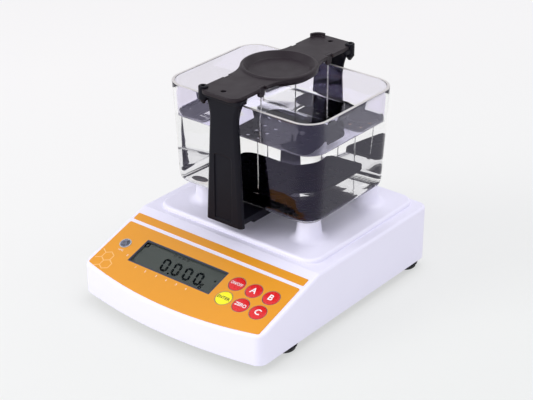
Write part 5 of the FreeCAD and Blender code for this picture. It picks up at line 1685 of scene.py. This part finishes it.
@dataclass
class Level:
    """What the round spirit level holds: its bubble, and the circle printed over it.

    Attributes:
        x: X of its middle.
        run: Run down the slope of its middle.
        bubble: Radius of the bubble.
        thick: Thickness of the bubble.
        high: Height of the bubble's middle out of the panel.
        circle: Radius of the printed circle.
        circle_half: Half of its line's width.
        circle_thick: Its thickness.
        vial: Radius of the vial.
        shoulder: Height of the vial's edge.
        dome: How far the vial's middle stands above its edge.
    """

    x: float = -71.9
    run: float = 42.0
    bubble: float = 1.5
    thick: float = 0.7
    high: float = 0.45
    circle: float = 2.3
    circle_half: float = 0.12
    circle_thick: float = 0.02
    vial: float = 4.15
    shoulder: float = 0.4
    dome: float = 0.8

    def _crown(self, radius: float) -> float:
        """Height of the vial's dome at a radius: shoulder + dome (1 - (r / R)^2)."""
        return self.shoulder + self.dome * (1.0 - (radius / self.vial) ** 2)

    def build(self, shop: Workshop) -> None:
        """Build the bubble, a flattened ball, and the circle on the dome.

        Args:
            shop: Where pieces are made.
        """
        angles = np.radians(np.linspace(-90.0, 90.0, 17))
        heights = self.high + self.thick / 2 * np.sin(angles)
        ball = np.column_stack([self.bubble * np.cos(angles), heights])
        ball[[0, -1], 0] = 0.0
        inner, outer = self.circle - self.circle_half, self.circle + self.circle_half
        line = [(radius, self._crown(radius)) for radius in (inner, outer)]
        line += [(radius, height + self.circle_thick) for radius, height in line[::-1]]
        for name, solid, finish in (
            ("level_bubble", turned([tuple(p) for p in ball], 32), BUBBLE_AIR),
            ("level_circle", turned(line, 48), DARK_INK),
        ):
            shop.build(name, SLOPE.lay(solid, self.x, self.run), finish, "root", "window_clear")


@dataclass
class Honeycomb:
    """The plain honeycomb of thin lines printed beside the level.

    Attributes:
        heart: X and upward place of one corner where three lines meet.
        side: Length of a line.
        line: Width of a line.
        thick: How far a line stands out of the panel.
        ends: Both ends of each line, in steps of half a cell across and half a side up.
    """

    heart: Pair = (-75.3, -64.8)
    side: float = 5.1
    line: float = 0.7
    thick: float = 0.02
    ends: tuple[tuple[int, int, int, int], ...] = (
        (0, 0, -1, 1), (0, 0, 1, 1), (0, 0, 0, -2), (-1, 1, -1, 3), (-1, 3, 0, 4),
        (0, 4, 1, 3), (1, 3, 1, 1), (-1, 1, -2, 0), (-1, 3, -2, 4), (1, 1, 2, 0),
        (2, 0, 2, -2), (2, -2, 1, -3), (1, -3, 0, -2), (0, -2, -1, -3),
    )

    def build(self, shop: Workshop) -> None:
        """Print every line as a thin bar with round ends.

        Args:
            shop: Where pieces are made.
        """
        step = np.array([self.side * math.sqrt(0.75), self.side / 2])
        low, high, radius = SKIN_TOP - INK_SINK, SKIN_TOP + self.thick, self.line / 2
        bars = []
        for x0, y0, x1, y1 in self.ends:
            start, stop = np.array([x0, y0]) * step, np.array([x1, y1]) * step
            turn = math.degrees(math.atan2(*(stop - start)[::-1]))
            far = arc(tuple(stop), radius, turn - 90, turn + 90)
            near = arc(tuple(start), radius, turn + 90, turn + 270)
            bars.append(prism(np.vstack([far, near]) + self.heart, low, high))
        honeycomb = SLOPE.lay(together(bars))
        shop.build("honeycomb_print", honeycomb, HONEYCOMB_INK, "root", "overlay_orange")


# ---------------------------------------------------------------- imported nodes


PACKED = {
    WHITE_ABS: "upper_housing tank_stand",
    GREY_ABS: "lower_housing",
    ORANGE_FILM: "panel_overlay title_strip",
    LCD_FIELD: "lcd_cell",
    LIGHT_GUIDE: "lcd_backlight",
    DARK_CARRIER: "lcd_frame key_switches processor_chip power_inlet",
    GREEN_BOARD: "display_board main_board",
    LEVEL_METAL: "level_cup",
    CLEAR_VIAL: "level_vial",
    CELL_METAL: "load_cell load_cell_foot free_end_spacer load_bracket",
    SCREW_STEEL: "weighing_stem stem_screws overload_stop load_cell_fixed_screws "
    "load_cell_free_screws frame_screws case_screws tray_screws display_board_screws "
    "main_board_screws",
    BLACK_ABS: "cross_bar front_leg rear_leg",
    BEAM_ABS: "top_beam wire_clips",
    PAN_ABS: "water_pan",
    SHIELD_STEEL: "adc_shield data_port",
    RIBBON: "ribbon_cable",
    SHEATH: "load_cell_lead",
    BRASS: "foot_inserts",
}
CORNERS = ("front_left", "rear_left", "front_right", "rear_right")
AT_CORNERS = {WIRE_STEEL: "hanger_wire", FOOT_RUBBER: "foot_pad", BLACK_ABS: "foot_wheel"}


def dress_packed_nodes(shop: Workshop) -> None:
    """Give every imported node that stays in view, or inside, its finish.

    Args:
        shop: What puts a finish on a node.
    """
    for finish, nodes in PACKED.items():
        shop.dress(finish, *nodes.split())
    for corner in CORNERS:
        for finish, node in AT_CORNERS.items():
            shop.dress(finish, f"{node}_{corner}")


def main() -> None:
    """Build the instrument's looks in order."""
    logging.basicConfig(level=logging.INFO, format="%(name)s: %(message)s")
    Studio().build()
    shop = Workshop()
    dress_packed_nodes(shop)
    for assembly in (Tank(), Keypad(), Display(), Captions(), Level(), Honeycomb()):
        assembly.build(shop)
    LOG.info("%d pieces made", len(shop.made))


if __name__ == "__main__":
    main()
